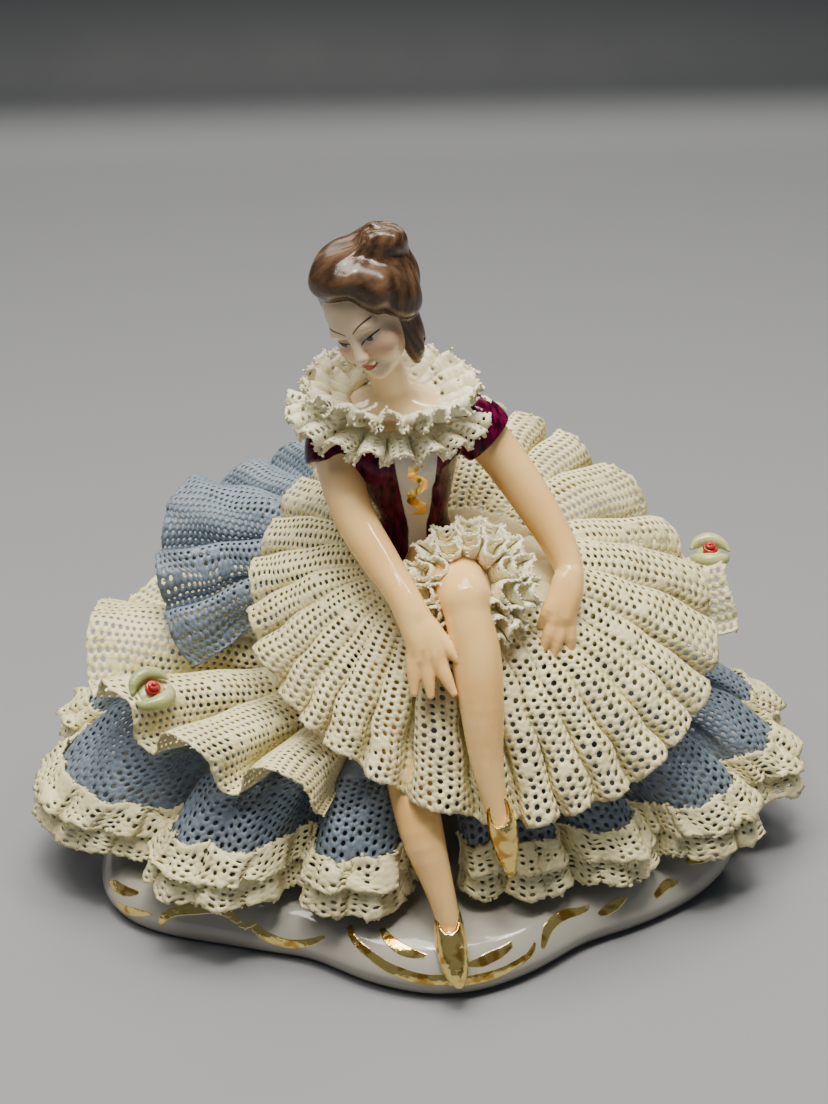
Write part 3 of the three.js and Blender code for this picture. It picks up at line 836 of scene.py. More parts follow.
# The figure is one surface drawn round blended balls and limbs. Joints run (x, y, height, radius).
figure = {
    "headBox": [(-24, -14, 112), (6, 14, 150)],
    "neck": [(-3.8, 0.8, 106, 5.2), (-4.8, 0.4, 113.5, 3.9), (-7, 0.2, 121, 4.1)],
    "chest": [((-3.6, 0.6, 105.2), (14.8, 7.6, 6.2)), ((-3.8, 1.6, 107), (13.4, 7.2, 5.0))],
    "arms": [
        [(-15.6, 1.2, 104, 5.0), (-15.8, -3.6, 97.4, 4.7), (-13.2, -10.6, 89.4, 4.3), (-8.2, -18.6, 83, 3.9)]
        + [(-3.4, -26.4, 78.4, 3.1), (-2.0, -28.8, 76.4, 3.0)],
        [(11.4, 2.4, 103.6, 5.0), (17.6, 0.4, 97, 4.7), (25.4, -5.6, 86.8, 4.2), (30.7, -12.2, 78.6, 3.4)]
        + [(31.4, -17, 74.4, 2.7), (31.0, -18.6, 72.4, 2.6)],
    ],
    "hands": [
        [
            [(-5.4, -23.6, 80.0, 2.9), (-2.8, -28.4, 76.2, 3.1), (-1.2, -32.2, 72.2, 2.9), (-0.6, -34.2, 69.6, 2.3)],
            [(-2.8, -27.2, 77.2, 2.5), (0.2, -30.8, 74.0, 2.8), (1.6, -33.6, 71.0, 2.5), (2.2, -35.0, 69.4, 1.9)],
            [(-1.8, -32.6, 71.4, 2.0), (-2.4, -35.6, 67.6, 1.6), (-2.6, -38.2, 63.8, 0.8)],
            [(-0.2, -33.8, 70.4, 1.9), (0.2, -36.8, 67.0, 1.5), (0.6, -39.2, 63.8, 0.8)],
            [(1.8, -34.0, 70.4, 1.9), (3.4, -37.0, 67.4, 1.5), (5.2, -39.6, 64.4, 0.75)],
            [(1.6, -31.0, 73.8, 1.9), (4.2, -33.8, 71.6, 1.5), (6.8, -36.4, 69.4, 0.75)],
        ],
        [
            [(31.5, -16.0, 75.8, 2.8), (30.8, -18.8, 72.6, 2.9), (29.6, -21.4, 69.4, 2.5)],
            [(30.0, -17.0, 75.2, 2.4), (28.4, -20.2, 71.4, 2.5), (28.0, -21.8, 69.4, 2.1)],
            [(29.2, -18.4, 73.2, 1.9), (26.6, -21.0, 70.8, 1.6), (24.6, -22.4, 68.0, 0.75)],
            [(28.2, -21.4, 69.4, 1.9), (26.4, -23.8, 66.6, 1.5), (25.0, -25.2, 63.6, 0.75)],
            [(29.2, -21.8, 68.8, 1.8), (28.2, -24.4, 65.8, 1.4), (27.4, -25.8, 63.0, 0.75)],
            [(30.4, -21.2, 69.2, 1.8), (30.8, -23.8, 65.6, 1.4), (31.0, -25.0, 61.8, 0.75)],
        ],
    ],
    "legs": [
        [(3.4, 3, 68, 8), (6, -12, 75.6, 6.8), (8.2, -23.4, 78.2, 5.5), (8.4, -26.8, 78.4, 4.9)],
        [(8.4, -26.4, 78.3, 4.8), (8.9, -29.4, 75.4, 4.7), (10.2, -33.8, 69.2, 5.0), (10.9, -39, 60.6, 4.5)]
        + [(11.6, -44, 50.6, 3.4), (13.2, -48.4, 42, 2.35), (13.8, -49.6, 39.4, 2.3)],
        [(-3, 4, 64, 8), (-5, -10, 59.5, 7), (-5.4, -23, 53, 6), (-4, -34, 44.5, 5.2), (-1.7, -44.2, 33.6, 4.6)]
        + [(1.2, -49.6, 24.2, 3.3), (3.3, -53.2, 16.6, 2.5), (3.5, -53.4, 13.6, 2.6)],
    ],
    "shoes": [
        [(13.7, -48.7, 42.2, 2.5), (14.4, -50.4, 38.4, 2.8), (15.2, -51.6, 33.6, 2.4), (16.1, -52.6, 28.2, 1.0)],
        [(3.3, -52.6, 16.6, 2.7), (3.7, -55.6, 13.2, 3.2), (4.3, -59.8, 9.6, 2.7), (4.9, -62.4, 7.3, 1.1)],
    ],
    "throats": [
        ((13.6, -51.4, 44.0), (2.3, 2.6, 4.6)),
        ((3.3, -55.2, 19.4), (2.5, 3.2, 4.4)),
    ],
    "torso": [  # height, middle, half sizes
        (36, 1, 4, 7, 6),
        (45, 1.4, 4, 13, 10),
        (58, 1.6, 4, 13.5, 10.6),
        (73, 1, 2.6, 9.6, 7.8),
        (81.5, 0.2, 1.0, 7.2, 5.9),
        (90, -1.4, -0.4, 9.4, 7.2),
        (98, -3, -1.2, 12.2, 8.2),
        (102, -3.4, -0.8, 13.2, 7.8),
        (106, -3.6, 0, 9.4, 5.6),
    ],
    "bust": [((-7.6, -4.6, 99.5), (4.6, 4.6, 4.8)), ((1.4, -4.8, 99.5), (4.6, 4.6, 4.8))],
    "sleeves": [
        [(-14.6, 1.2, 104, 5.0), (-16.2, 0.0, 100.4, 6.4), (-16.6, -2.2, 95.6, 6.0)],
        [(10.0, 2.4, 105, 5.0), (13.4, 2.0, 102, 6.4), (16.6, 0.8, 98.4, 6.0)],
    ],
    "hems": [((-16.4, -2, 96.2), (0.05, 0.62, 0.78)), ((15.6, 1.1, 99.4), (-0.72, 0.2, 0.66))],
    "panel": {"foot": 85, "tall": 15, "aside": (0.25, -0.25), "half": (2.3, 4.3), "front": -2},
    "lacing": {"foot": 86.0, "top": 100.0, "period": 7.0, "swing": 1.15, "half": 0.85},
    "soft": {"chest": 2.5, "joint": 1.5, "finger": 0.7, "knee": 1.0, "bust": 3, "sleeveEdge": 0.6, "shoeEdge": 0.3},
    "grid": [(-27, 38, -23, 4), (-68, 19, -15.5, 14), (4, 151, 115, 150)],  # each way: all of it, then the head
    "spacing": (0.42, 0.21),
    "triangles": 88000,
}

# The head in its own frame: +X its left, -Y the way it looks, +Z its crown. Balls stand at (x, y, z) with half sizes
# and how softly they blend; those of "pairs", "sockets" and "lids" stand on both sides.
head = {
    "at": (-9.1, -1.4, 129.4),
    "turn": (-24, 14, -25),
    "skull": [
        ((0, 0.4, 2.2), (7.6, 8.6, 9.3), 1),
        ((0, -2.4, -4.4), (5.7, 5.7, 6.4), 2.5),
        ((0, -5.9, -8.8), (2.1, 2.1, 2.0), 2.2),
    ],
    "pairs": [((3.7, -4.9, -3.4), (2.7, 2.6, 2.8), 2.0), ((2.6, -6.6, 1.7), (2.6, 1.5, 1.1), 1.6)],
    "sockets": [((2.9, -8.4, -0.5), (2.1, 1.3, 1.15), 1.0)],
    "lids": [((2.9, -6.5, -0.8), (1.7, 1.25, 0.95), 0.5), ((0.85, -8.9, -4.1), (0.55, 0.7, 0.55), 0.5)],
    "nose": [(0, -7.6, 0.8, 0.8), (0, -8.6, -1.6, 0.9), (0, -9.6, -3.6, 1.0)],
    "lips": [((0, -8.3, -6.0), (1.7, 0.75, 0.5), 0.5), ((0, -8.1, -6.85), (1.35, 0.75, 0.55), 0.4)],
}
hair = {
    "at": (-9.4, -1.4, 130),
    "turn": (-34, 12, -20),
    "balls": [
        ((0, 2.4, 5.2), (9.2, 9.2, 9.2), 1),
        ((1.2, -3.2, 9.8), (7.2, 6.0, 4.2), 2.0),
        ((-1.5, 1.0, 10), (5.2, 6.0, 4.7), 2.0),
        ((6.2, -2.0, 6.6), (4.6, 4.8, 4.4), 2.0),
        ((8.7, 1.8, 2.4), (3.1, 4.4, 5.2), 1.6),
        ((-6.6, 1.6, 2.4), (3.0, 4.6, 6.0), 2.0),
        ((0, 7.4, -1.2), (6.8, 4.8, 7.8), 2.0),
        ((7.4, 6, 6), (3.2, 4.5, 5.5), 2.0),
        ((5.8, 4.8, 11.2), (5.6, 5.2, 4.8), 2.2),
    ],
    "locks": [
        [(6.4, 2.2, 0, 3.0), (6.1, 2.5, -3.6, 2.7), (6.0, 2.5, -7.6, 2.4), (5.5, 2.5, -11.0, 2.0)]
        + [(4.7, 2.5, -13.2, 0.9)],
        [(-6.2, 5.0, -3, 3.0), (-6.6, 5.4, -8.6, 2.4), (-6.2, 5.2, -12.6, 1.2)],
    ],
    "knot": (5.8, 4.8, 11.2),
    "strands": 11,
    "groove": 0.07,
    "wave": 0.42,
}
farOff = 9.0  # stands for any distance at which nothing blends


def turned(axis, degrees):
    c, s = math.cos(math.radians(degrees)), math.sin(math.radians(degrees))
    a, b = [(1, 2), (2, 0), (0, 1)][axis]
    matrix = np.eye(3)
    matrix[a, a] = matrix[b, b] = c
    matrix[a, b], matrix[b, a] = -s, s
    return matrix


def inFrame(points, part):
    yaw, pitchDown, roll = part["turn"]
    return (points - vec(*part["at"])) @ (turned(2, yaw) @ turned(0, pitchDown) @ turned(1, roll))


def blend(a, b, soft):
    near = np.maximum(soft - np.abs(a - b), 0) / soft
    return np.minimum(a, b) - near * near * soft / 4


def carve(a, b, soft):
    return -blend(-a, b, soft)


def within(points, low, high, work):
    room = 3.0
    near = np.all((points > low - room) & (points < high + room), axis=1)
    result = np.full(len(points), farOff)
    if near.any():
        result[near] = work(points[near])
    return result


def ballDistance(points, at, half):
    at, half = vec(*at), vec(*half)

    def work(near):
        place = near - at
        share = np.linalg.norm(place / half, axis=1)
        steep = np.linalg.norm(place / half ** 2, axis=1)
        return share * (share - 1) / np.maximum(steep, 1e-6)

    return within(points, at - half, at + half, work)


def limbDistance(points, joints, perSpan=4):
    line = smoothCurve(joints, perSpan)

    def work(near):
        nearest = np.full(len(near), farOff)
        for a, b in zip(line, line[1:]):
            span = b[:3] - a[:3]
            along = np.clip((near - a[:3]) @ span / (span @ span), 0, 1)
            off = near - a[:3] - along[:, None] * span
            nearest = np.minimum(nearest, np.sqrt(np.einsum("ij,ij->i", off, off)) - mix(a[3], b[3], along))
        return nearest

    return within(points, (line[:, :3] - line[:, 3:]).min(0), (line[:, :3] + line[:, 3:]).max(0), work)


def ballsDistance(points, balls, start=None):
    total = start
    for at, half, soft in balls:
        distance = ballDistance(points, at, half)
        total = distance if total is None else blend(total, distance, soft)
    return total


def faceDistance(points):
    place = inFrame(points, head)
    sided = np.stack([np.abs(place[:, 0]), place[:, 1], place[:, 2]], 1)
    face = ballsDistance(place, head["skull"])
    face = ballsDistance(sided, head["pairs"], face)
    for at, half, soft in head["sockets"]:
        face = carve(face, ballDistance(sided, at, half), soft)
    face = ballsDistance(sided, head["lids"], face)
    face = blend(face, limbDistance(place, head["nose"]), 1.5)
    return ballsDistance(place, head["lips"], face)


def hairFlow(points):
    place = inFrame(points, hair) - vec(*hair["knot"])
    polar = np.arctan2(np.hypot(place[:, 0], place[:, 1]), place[:, 2])
    around = np.arctan2(place[:, 0], -place[:, 1]) + 0.22 * np.sin(4.6 * polar + 0.8)
    return around, polar


def hairDistance(points):
    place = inFrame(points, hair)
    around, polar = hairFlow(points)
    mass = ballsDistance(place, hair["balls"])
    for lock in hair["locks"]:
        mass = blend(mass, limbDistance(place, lock), 1.2)
    ridges = np.sin(hair["strands"] * around + 2.2 * np.sin(2.3 * around))
    waves = np.sin(4.2 * polar + 1.5 * np.sin(2 * around + 0.6))
    return mass + hair["groove"] * ridges * np.clip(polar * 1.6 - 0.4, 0, 1) + hair["wave"] * waves


def torsoDistance(points):
    rings = np.array(figure["torso"], float)
    levels = smoothCurve(rings, 5)

    def work(near):
        at = [np.interp(near[:, 2], levels[:, 0], levels[:, k]) for k in range(1, 5)]
        x, y = near[:, 0] - at[0], near[:, 1] - at[1]
        share = np.hypot(x / at[2], y / at[3])
        steep = np.hypot(x / at[2] ** 2, y / at[3] ** 2)
        side = share * (share - 1) / np.maximum(steep, 1e-6)
        ends = np.maximum(rings[0, 0] - near[:, 2], near[:, 2] - rings[-1, 0])
        return carve(side, -ends, 3)

    return within(points, vec(-20, -14, 36), vec(20, 18, 110), work)


def layerDistances(points):
    soft = figure["soft"]
    skin = limbDistance(points, figure["neck"])
    skin = ballsDistance(points, [(*ball, soft["chest"]) for ball in figure["chest"]], skin)
    headBox = np.array(figure["headBox"])
    skin = blend(skin, within(points, *headBox, faceDistance), soft["joint"])
    for arm, hand in zip(figure["arms"], figure["hands"]):
        whole = limbDistance(points, arm)
        for finger in hand:
            whole = blend(whole, limbDistance(points, finger, 3), soft["finger"])
        skin = blend(skin, whole, soft["joint"])
    thigh, shin, standing = (limbDistance(points, leg) for leg in figure["legs"])
    skin = np.minimum(np.minimum(skin, blend(thigh, shin, soft["knee"])), standing)
    cloth = torsoDistance(points)
    for at, half in figure["bust"]:
        cloth = blend(cloth, ballDistance(points, at, half), soft["bust"])
    for sleeve, (at, facing) in zip(figure["sleeves"], figure["hems"]):
        puff = carve(limbDistance(points, sleeve), (points - vec(*at)) @ unit(vec(*facing)), soft["sleeveEdge"])
        cloth = blend(cloth, puff, soft["joint"])
    shoes = np.full(len(points), farOff)
    for shoe, throat in zip(figure["shoes"], figure["throats"]):
        whole = carve(limbDistance(points, shoe), ballDistance(points, *throat), soft["shoeEdge"])
        shoes = np.minimum(shoes, whole - 0.15)
    return {"skin": skin, "cloth": cloth, "shoes": shoes, "hair": within(points, *headBox, hairDistance)}


def figureDistance(points):
    return np.minimum.reduce(list(layerDistances(points).values()))


# A grid with finer spacing round the head, whose blocks of four are worked out only near the surface.
def spacedAxis(low, high, fineLow, fineHigh, coarse, fine):
    spots = [low]
    while spots[-1] < high or len(spots) % 4 != 1:
        step = fine if fineLow < spots[-1] < fineHigh else coarse
        spots.append(spots[-1] + step)
    return np.array(spots)


def surfaceOf(distance, axes):
    def gridOf(lines):
        return np.stack(np.meshgrid(*lines, indexing="ij"), -1).reshape(-1, 3)

    blocks = [(len(axis) - 1) // 4 for axis in axes]
    rough = distance(gridOf([(axis[:-1:4] + axis[4::4]) / 2 for axis in axes]))
    room = np.linalg.norm(gridOf([(axis[4::4] - axis[:-1:4]) / 2 for axis in axes]), axis=1)
    field = np.repeat(np.sign(rough).reshape(blocks), 4, 0).repeat(4, 1).repeat(4, 2).astype(np.float32) * farOff
    near = np.argwhere((np.abs(rough) < room * 1.15 + 0.5).reshape(blocks))
    spots = (near[:, None] * 4 + gridOf([np.arange(4)] * 3)).reshape(-1, 3)
    for part in np.array_split(spots, max(1, len(spots) // 400000)):
        place = np.stack([axis[part[:, k]] for k, axis in enumerate(axes)], 1)
        field[tuple(part.T)] = distance(place)
    return netOf(field, axes)


# The surface is where the field changes sign: each cell it passes through has one point, and each crossing a face.
def netOf(field, axes):
    inside = field < 0
    shape = np.array(field.shape)
    stride = np.array([shape[1] * shape[2], shape[2], 1])
    cells, places, quads = [], [], []
    for k in range(3):
        step = np.eye(3, dtype=int)[k]
        lower = inside[tuple(slice(None, -1) if n == k else slice(1, -1) for n in range(3))]
        upper = inside[tuple(slice(1, None) if n == k else slice(1, -1) for n in range(3))]
        spot = np.argwhere(lower != upper) + 1 - step
        start, end = field[tuple(spot.T)], field[tuple((spot + step).T)]
        share = start / (start - end)
        place = np.stack([axis[spot[:, n]] for n, axis in enumerate(axes)], 1)
        place[:, k] += share * (axes[k][spot[:, k] + 1] - axes[k][spot[:, k]])
        u, v = np.eye(3, dtype=int)[(k + 1) % 3], np.eye(3, dtype=int)[(k + 2) % 3]
        around = np.stack([(spot - shift) @ stride for shift in (0 * u, u, u + v, v)], 1)
        quads.append(np.where((start < 0)[:, None], around, around[:, ::-1]))
        cells.append(around.ravel())
        places.append(np.repeat(place, 4, 0))
    cells, places, quads = np.concatenate(cells), np.concatenate(places), np.concatenate(quads)
    used, number = np.unique(cells, return_inverse=True)
    weight = np.bincount(number)
    points = np.stack([np.bincount(number, places[:, n]) / weight for n in range(3)], 1)
    return points, np.searchsorted(used, quads)


def panelOff(points):
    panel = figure["panel"]
    level = np.clip((points[:, 2] - panel["foot"]) / panel["tall"], -0.2, 1.3)
    aside = np.abs(points[:, 0] - mix(*panel["aside"], level)) - mix(*panel["half"], level)
    return np.maximum(aside, points[:, 1] - panel["front"])


def slopeOf(distance, points, step=0.04):
    slopes = [distance(points + shift) - distance(points - shift) for shift in np.eye(3) * step]
    return np.stack(slopes, 1) / (2 * step)


# Fewer faces, each corner put back on the true surface and shaded by the surface's own slope.
def settledSurface(name, distance, axes, most, marks, finish):
    points, quads = surfaceOf(distance, axes)
    piece = meshObject(name, points, [quads])
    modifier = piece.modifiers.new("fewer", "DECIMATE")
    modifier.ratio = min(1.0, most / (2 * len(quads)))
    mesh = baked(piece)
    flat = np.empty(len(mesh.vertices) * 3, np.float32)
    mesh.vertices.foreach_get("co", flat)
    points = flat.reshape(-1, 3).astype(float) / mm
    for _ in range(2):
        slope = slopeOf(distance, points)
        reach = distance(points) / np.maximum((slope ** 2).sum(1), 0.3)
        points -= slope * np.clip(reach, -0.15, 0.15)[:, None]
    mesh.vertices.foreach_set("co", (points * mm).astype(np.float32).ravel())
    storeValues(mesh, marks(points))
    mesh.update()
    mesh.normals_split_custom_set_from_vertices(unit(slopeOf(distance, points)))
    mesh.materials.append(finish)
    return piece


def figureMarks(points):
    layers = layerDistances(points)

    def ahead(title):
        others = np.minimum.reduce([layer for key, layer in layers.items() if key != title])
        return np.clip(layers[title] - others, -2, 2)

    around, polar = hairFlow(points)
    return {
        "hair": ahead("hair"),
        "cloth": ahead("cloth"),
        "shoes": ahead("shoes"),
        "panel": np.clip(panelOff(points), -3, 3),
        "facePlace": inFrame(points, head),
        "strand": np.stack([np.cos(around), np.sin(around), polar], 1),
    }


# Face paint, all in the head's own millimetres: spots have a middle, half sizes and a blur, and lines a thickness.
def facePaint(tree, skin):
    x, y, z = parts(attribute(tree, "facePlace", "Vector"))
    side = x.size()
    front = y.under(-2.0, 1.0)

    def spot(middle, height, wide, tall, blur):
        off = ((side - middle) / wide).power(2.0) + ((z - height) / tall).power(2.0)
        return off.under(1.0, blur) * front

    def line(curve, start, end, thick, blur):
        inside = side.over(start - 0.15, start + 0.1) * side.under(end, 0.25)
        return (z - curve).size().under(thick, blur) * inside * front

    lash = side * 0.28 - 1.35 - (side - 3.1).power(2.0) * 0.07
    brow = side * 0.34 + 1.7 - (side - 3.0).power(2.0) * 0.1
    smile = side * 0.06 - 6.55
    full = (side / 1.9).power(2.0) * -0.66 + 0.66
    strokes = [
        (spot(4.3, -3.7, 3.0, 2.6, 0.9) * 0.5, (0.80, 0.33, 0.17)),  # cheek
        (line(lash + 0.8, 1.3, 5.0, 0.07, 0.12) * 0.5, (0.35, 0.15, 0.09)),  # lid
        (spot(3.1, -0.95, 1.8, 0.62, 0.35) * 0.55, (0.42, 0.50, 0.52)),  # white of the eye
        (spot(3.1, -0.85, 0.72, 0.62, 0.25) * (z - lash).under(0.0, 0.1), (0.035, 0.07, 0.10)),  # iris
        (line(lash, 1.2, 5.2, 0.14, 0.09), (0.025, 0.015, 0.012)),
        (line(brow, 0.9, 5.2, 0.16, 0.11), (0.09, 0.03, 0.015)),
        (line(smile, 0.0, 2.6, 0.06, 0.1) * 0.7, (0.42, 0.10, 0.06)),
        ((z + 6.4).size().under(full, 0.12) * front * side.under(1.85, 0.1) * 0.92, (0.50, 0.035, 0.025)),  # lips
    ]
    for share, tone in strokes:
        skin = blended(share, skin, tone)
    return skin


def figureFill(tree):
    lacing = figure["lacing"]
    blurs = {"cloth": 0.05, "hair": 0.06, "shoes": 0.04}
    clothShare, hairShare, shoeShare = (attribute(tree, title).under(0.0, blur) for title, blur in blurs.items())
    cloud = noise(tree, 55.0, detail=2.0)
    skin = blended(cloud.over(0.25, 0.75), (0.86, 0.50, 0.17), (0.93, 0.62, 0.25))
    above = parts(attribute(tree, "facePlace", "Vector"))[2]
    skin = facePaint(tree, blended(above.over(-34.0, -14.0) * 0.7, skin, (0.84, 0.70, 0.52)))
    strokes = noise(tree, 3.2, attribute(tree, "strand", "Vector"), rough=0.6)
    brown = blended(strokes.over(0.3, 0.75), (0.034, 0.017, 0.009), (0.150, 0.082, 0.042))
    brush = wireOf(tree, "ShaderNodeMapping", {"Vector": objectPlace(tree), "Scale": (900, 500, 130)})
    brushed = noise(tree, 1.0, brush)
    wine = blended(brushed.over(0.35, 0.72), (0.02, 0.0005, 0.006), (0.16, 0.003, 0.045))
    panel = (attribute(tree, "panel") + (brushed - 0.5) * 0.9).under(0.0, 0.12)  # with a ragged edge
    cloth = blended(panel, wine, (0.76, 0.74, 0.69))

    # the lacing swings from side to side down the panel
    x, y, z = [axis * (1 / mm) for axis in parts(objectPlace(tree))]
    swing = (z - lacing["foot"]) * (fullTurn / lacing["period"])
    aside = (x - swing.work("SINE") * lacing["swing"] - 0.1).size()
    steep = (swing.work("COSINE").power(2.0) * 2.6 + 1.0).power(0.5)
    tall = z.under(lacing["top"], 0.3) * (z - lacing["foot"]).over(0.0, 0.3)
    laceShare = (aside / steep).under(lacing["half"], 0.08) * tall * y.under(-4.0, 0.5) * clothShare

    paint = blended(hairShare, blended(clothShare, skin, cloth), brown)
    gilt = placed(tree, gildingGroup, Mask=laceShare.most(shoeShare), Color=paint)
    glaze = placed(tree, glazeGroup, Scale=140.0, Roughness=0.06)
    return {
        "Base Color": gilt["Color"],
        "Metallic": gilt["Metallic"],
        "Roughness": glaze["Roughness"] + gilt["Metallic"] * 0.04 + hairShare * 0.12,
        "Height": glaze["Height"] + hairShare * strokes * 0.6 + shoeShare * noise(tree, 380.0) * 2.2,
        "Specular IOR Level": clothShare * -0.3 + 0.5,
        "Strength": 0.35,
        "Depth": 0.0003,
    }


paintedPorcelain = finishOf("paintedPorcelain", figureFill)
grid = [spacedAxis(*spans, *figure["spacing"]) for spans in figure["grid"]]
dancer = settledSurface("painted_figure", figureDistance, grid, figure["triangles"], figureMarks, paintedPorcelain)
settled(dancer, "painted_porcelain", "figure")
print("figure made")


# Ruffles stand round an oval and may be tilted: the collar round the neck, the petticoat round the knee. Their
# flutes go all the way round, with valleys that drift a little.
def fluteValleys(f):
    draw = np.random.default_rng(f["seed"])
    turn = np.linspace(0, 1, f["flutes"] + 1)
    drift = 0.006 * np.sin(3 * fullTurn * turn) + 0.004 * np.sin(7 * fullTurn * turn)
    slack = draw.uniform(-1, 1, f["flutes"] + 1) * 0.16 / f["flutes"]
    slack[[0, -1]] = 0
    return fullTurn * (turn + drift + slack)


def ruffleMiddle(f, tier):
    tilt = turned(0, f["tilt"][0]) @ turned(1, f["tilt"][1])
    (gx, gy), (hx, hy) = tier["gatherHalf"], tier["hemHalf"]

    def middle(angle, fall):
        flare = fall ** tier["flare"]
        place = stacked(
            mix(gx, hx, flare) * np.cos(angle),
            mix(gy, hy, flare) * np.sin(angle),
            mix(tier["gatherRise"], tier["hemRise"], fall),
        )
        run, climb = hx - gx, tier["hemRise"] - tier["gatherRise"]
        up = unit(stacked(-climb * np.cos(angle), -climb * np.sin(angle), run + 0 * angle))
        return vec(*f["centre"]) + place @ tilt.T, up @ tilt.T

    return middle


ruffle = {**lace, "closed": True, "plainRows": 0.6, "plainBands": 1, "stand": (0.3, 0.6, 1), "rippleSize": 5.0}


def ruffleLace(node, f, tier):
    tier = {**f["tier"], **tier}
    foldedLace(node, "cream_lace", paleLitLace, tier, ruffleMiddle(f, tier), fluteValleys(tier))


collar = {
    "centre": (-5, -0.5, 109.6),
    "tilt": (12, 3),
    "tier": {**ruffle, "flare": 0.8, "fullness": 1.8, "rows": 5},
    "tiers": {
        "collar_frill_upper": {
            "gatherHalf": (8.6, 6.6),
            "hemHalf": (18.0, 12.8),
            "gatherRise": 0.2,
            "hemRise": 5.0,
            "flutes": 21,
            "lean": 0.3,
            "stand": (0.35, 0.6, 1),
            "ripple": 0.7,
            "fray": 0.5,
            "seed": 71,
            "thread": {"Thread": 0.0007, "Open Share": 0.3, "Dimple": 0.0002, "Crumb Share": 0.8, "Crumb Size": 0.0004},
        },
        "collar_frill_lower": {
            "gatherHalf": (11.4, 8.6),
            "hemHalf": (21.0, 14.6),
            "gatherRise": -1.4,
            "hemRise": -3.2,
            "flutes": 19,
            "lean": 0.4,
            "ripple": 0.35,
            "rippleSize": 6.0,
            "fray": 0.3,
            "seed": 73,
            "thread": {"Thread": 0.0006, "Open Share": 0.8, "Crumb Share": 0.5, "Crumb Size": 0.00032},
        },
    },
}
for node, tier in collar["tiers"].items():
    ruffleLace(node, collar, tier)

petticoat = {
    "centre": (10.4, -18.8, 76.2),
    "tilt": (46, 0),
    "rings": [(4.9, 2.9, 7.4, 10), (7.2, 3.5, 5.4, 14), (9.3, 4.3, 2.8, 18)],  # half, spread, lift, flutes
    "tier": {
        **ruffle,
        "gatherRise": 0,
        "flare": 1.2,
        "fullness": 2.0,
        "lean": 0.5,
        "ripple": 0.4,
        "rows": 4,
        "fray": 0.12,
        "thread": {"Thread": 0.0005, "Open Share": 0.3, "Crumb Share": 0.9, "Crumb Size": 0.0003},
    },
}
for count, (half, spread, lift, flutes) in enumerate(petticoat["rings"], 1):
    tier = {"gatherHalf": (half, half), "hemHalf": (half + spread, half + spread), "hemRise": lift}
    ruffleLace(f"petticoat_frill_{count}", petticoat, {**tier, "flutes": flutes, "seed": 80 + count})
print("ruffles made")

# The roses: two leaves laid side by side with a rolled bud between them.
rose = {
    "leaves": [
        [(-3.9, 1.0, 0.5, 0.5), (-2.6, 2.8, 0.9, 1.3), (0.0, 3.7, 1.1, 1.6), (2.7, 3.0, 0.8, 1.2)]
        + [(4.3, 1.4, 0.3, 0.4)],
        [(4.0, -0.8, 0.4, 0.5), (2.8, -2.6, 0.8, 1.4), (0.2, -3.5, 1.0, 1.7), (-2.6, -2.9, 0.7, 1.2)]
        + [(-4.0, -1.5, 0.2, 0.4)],
    ],
    "foot": ((0, 0, -0.2), (2.8, 2.9, 0.8)),
    "core": ((0, 0, 0.6), (1.35, 1.35, 1.9)),
    "bud": {"turns": 2.2, "inner": 0.35, "outer": 1.55, "foot": 1.1, "top": 2.7, "thick": 0.42, "joints": 26},
    "places": {
        "rose_left": {"at": (-56.6, -21.6, 54.7), "turn": (30, 28, 0)},
        "rose_right": {"at": (66.2, 4.4, 67.0), "turn": (-12, 8, 0)},
    },
    "gridHalf": 6,
    "gridStep": 0.16,
    "triangles": 9000,
}


def roseLayers(place):
    leaves = ballDistance(place, *rose["foot"])
    for leaf in rose["leaves"]:
        leaves = blend(leaves, limbDistance(place, leaf), 0.6)
    bud = rose["bud"]
    turn = np.linspace(0, 1, bud["joints"])
    reach = mix(bud["inner"], bud["outer"], turn)
    swirl = fullTurn * bud["turns"] * turn
    height = mix(bud["top"], bud["foot"], turn ** 1.6)
    joints = stacked(reach * np.cos(swirl), reach * np.sin(swirl), height, bud["thick"])
    petals = blend(limbDistance(place, joints, 1), ballDistance(place, *rose["core"]), 0.15)
    return leaves, petals


def roseFill(tree):
    glaze = placed(tree, glazeGroup, Scale=300.0, Roughness=0.1)
    green = blended(noise(tree, 200.0).over(0.3, 0.7), (0.30, 0.335, 0.12), (0.47, 0.49, 0.22))
    red = blended(noise(tree, 500.0), (0.22, 0.006, 0.008), (0.50, 0.02, 0.02))
    tone = blended(attribute(tree, "petals").under(0.0, 0.04), green, red)
    return {"Base Color": tone, "Roughness": glaze["Roughness"], "Height": glaze["Height"], "Depth": 0.0002}


roseGlaze = finishOf("roseGlaze", roseFill)
for node, place in rose["places"].items():
    def roseDistance(points):
        return np.minimum(*roseLayers(inFrame(points, place)))

    def roseMarks(points):
        leaves, petals = roseLayers(inFrame(points, place))
        return {"petals": petals - leaves}

    half, step = rose["gridHalf"], rose["gridStep"]
    grid = [spacedAxis(middle - half, middle + half, 0, 0, step, step) for middle in place["at"]]
    bloom = settledSurface(node + "_bloom", roseDistance, grid, rose["triangles"], roseMarks, roseGlaze)
    settled(bloom, "rose_porcelain", node)
print("roses made")

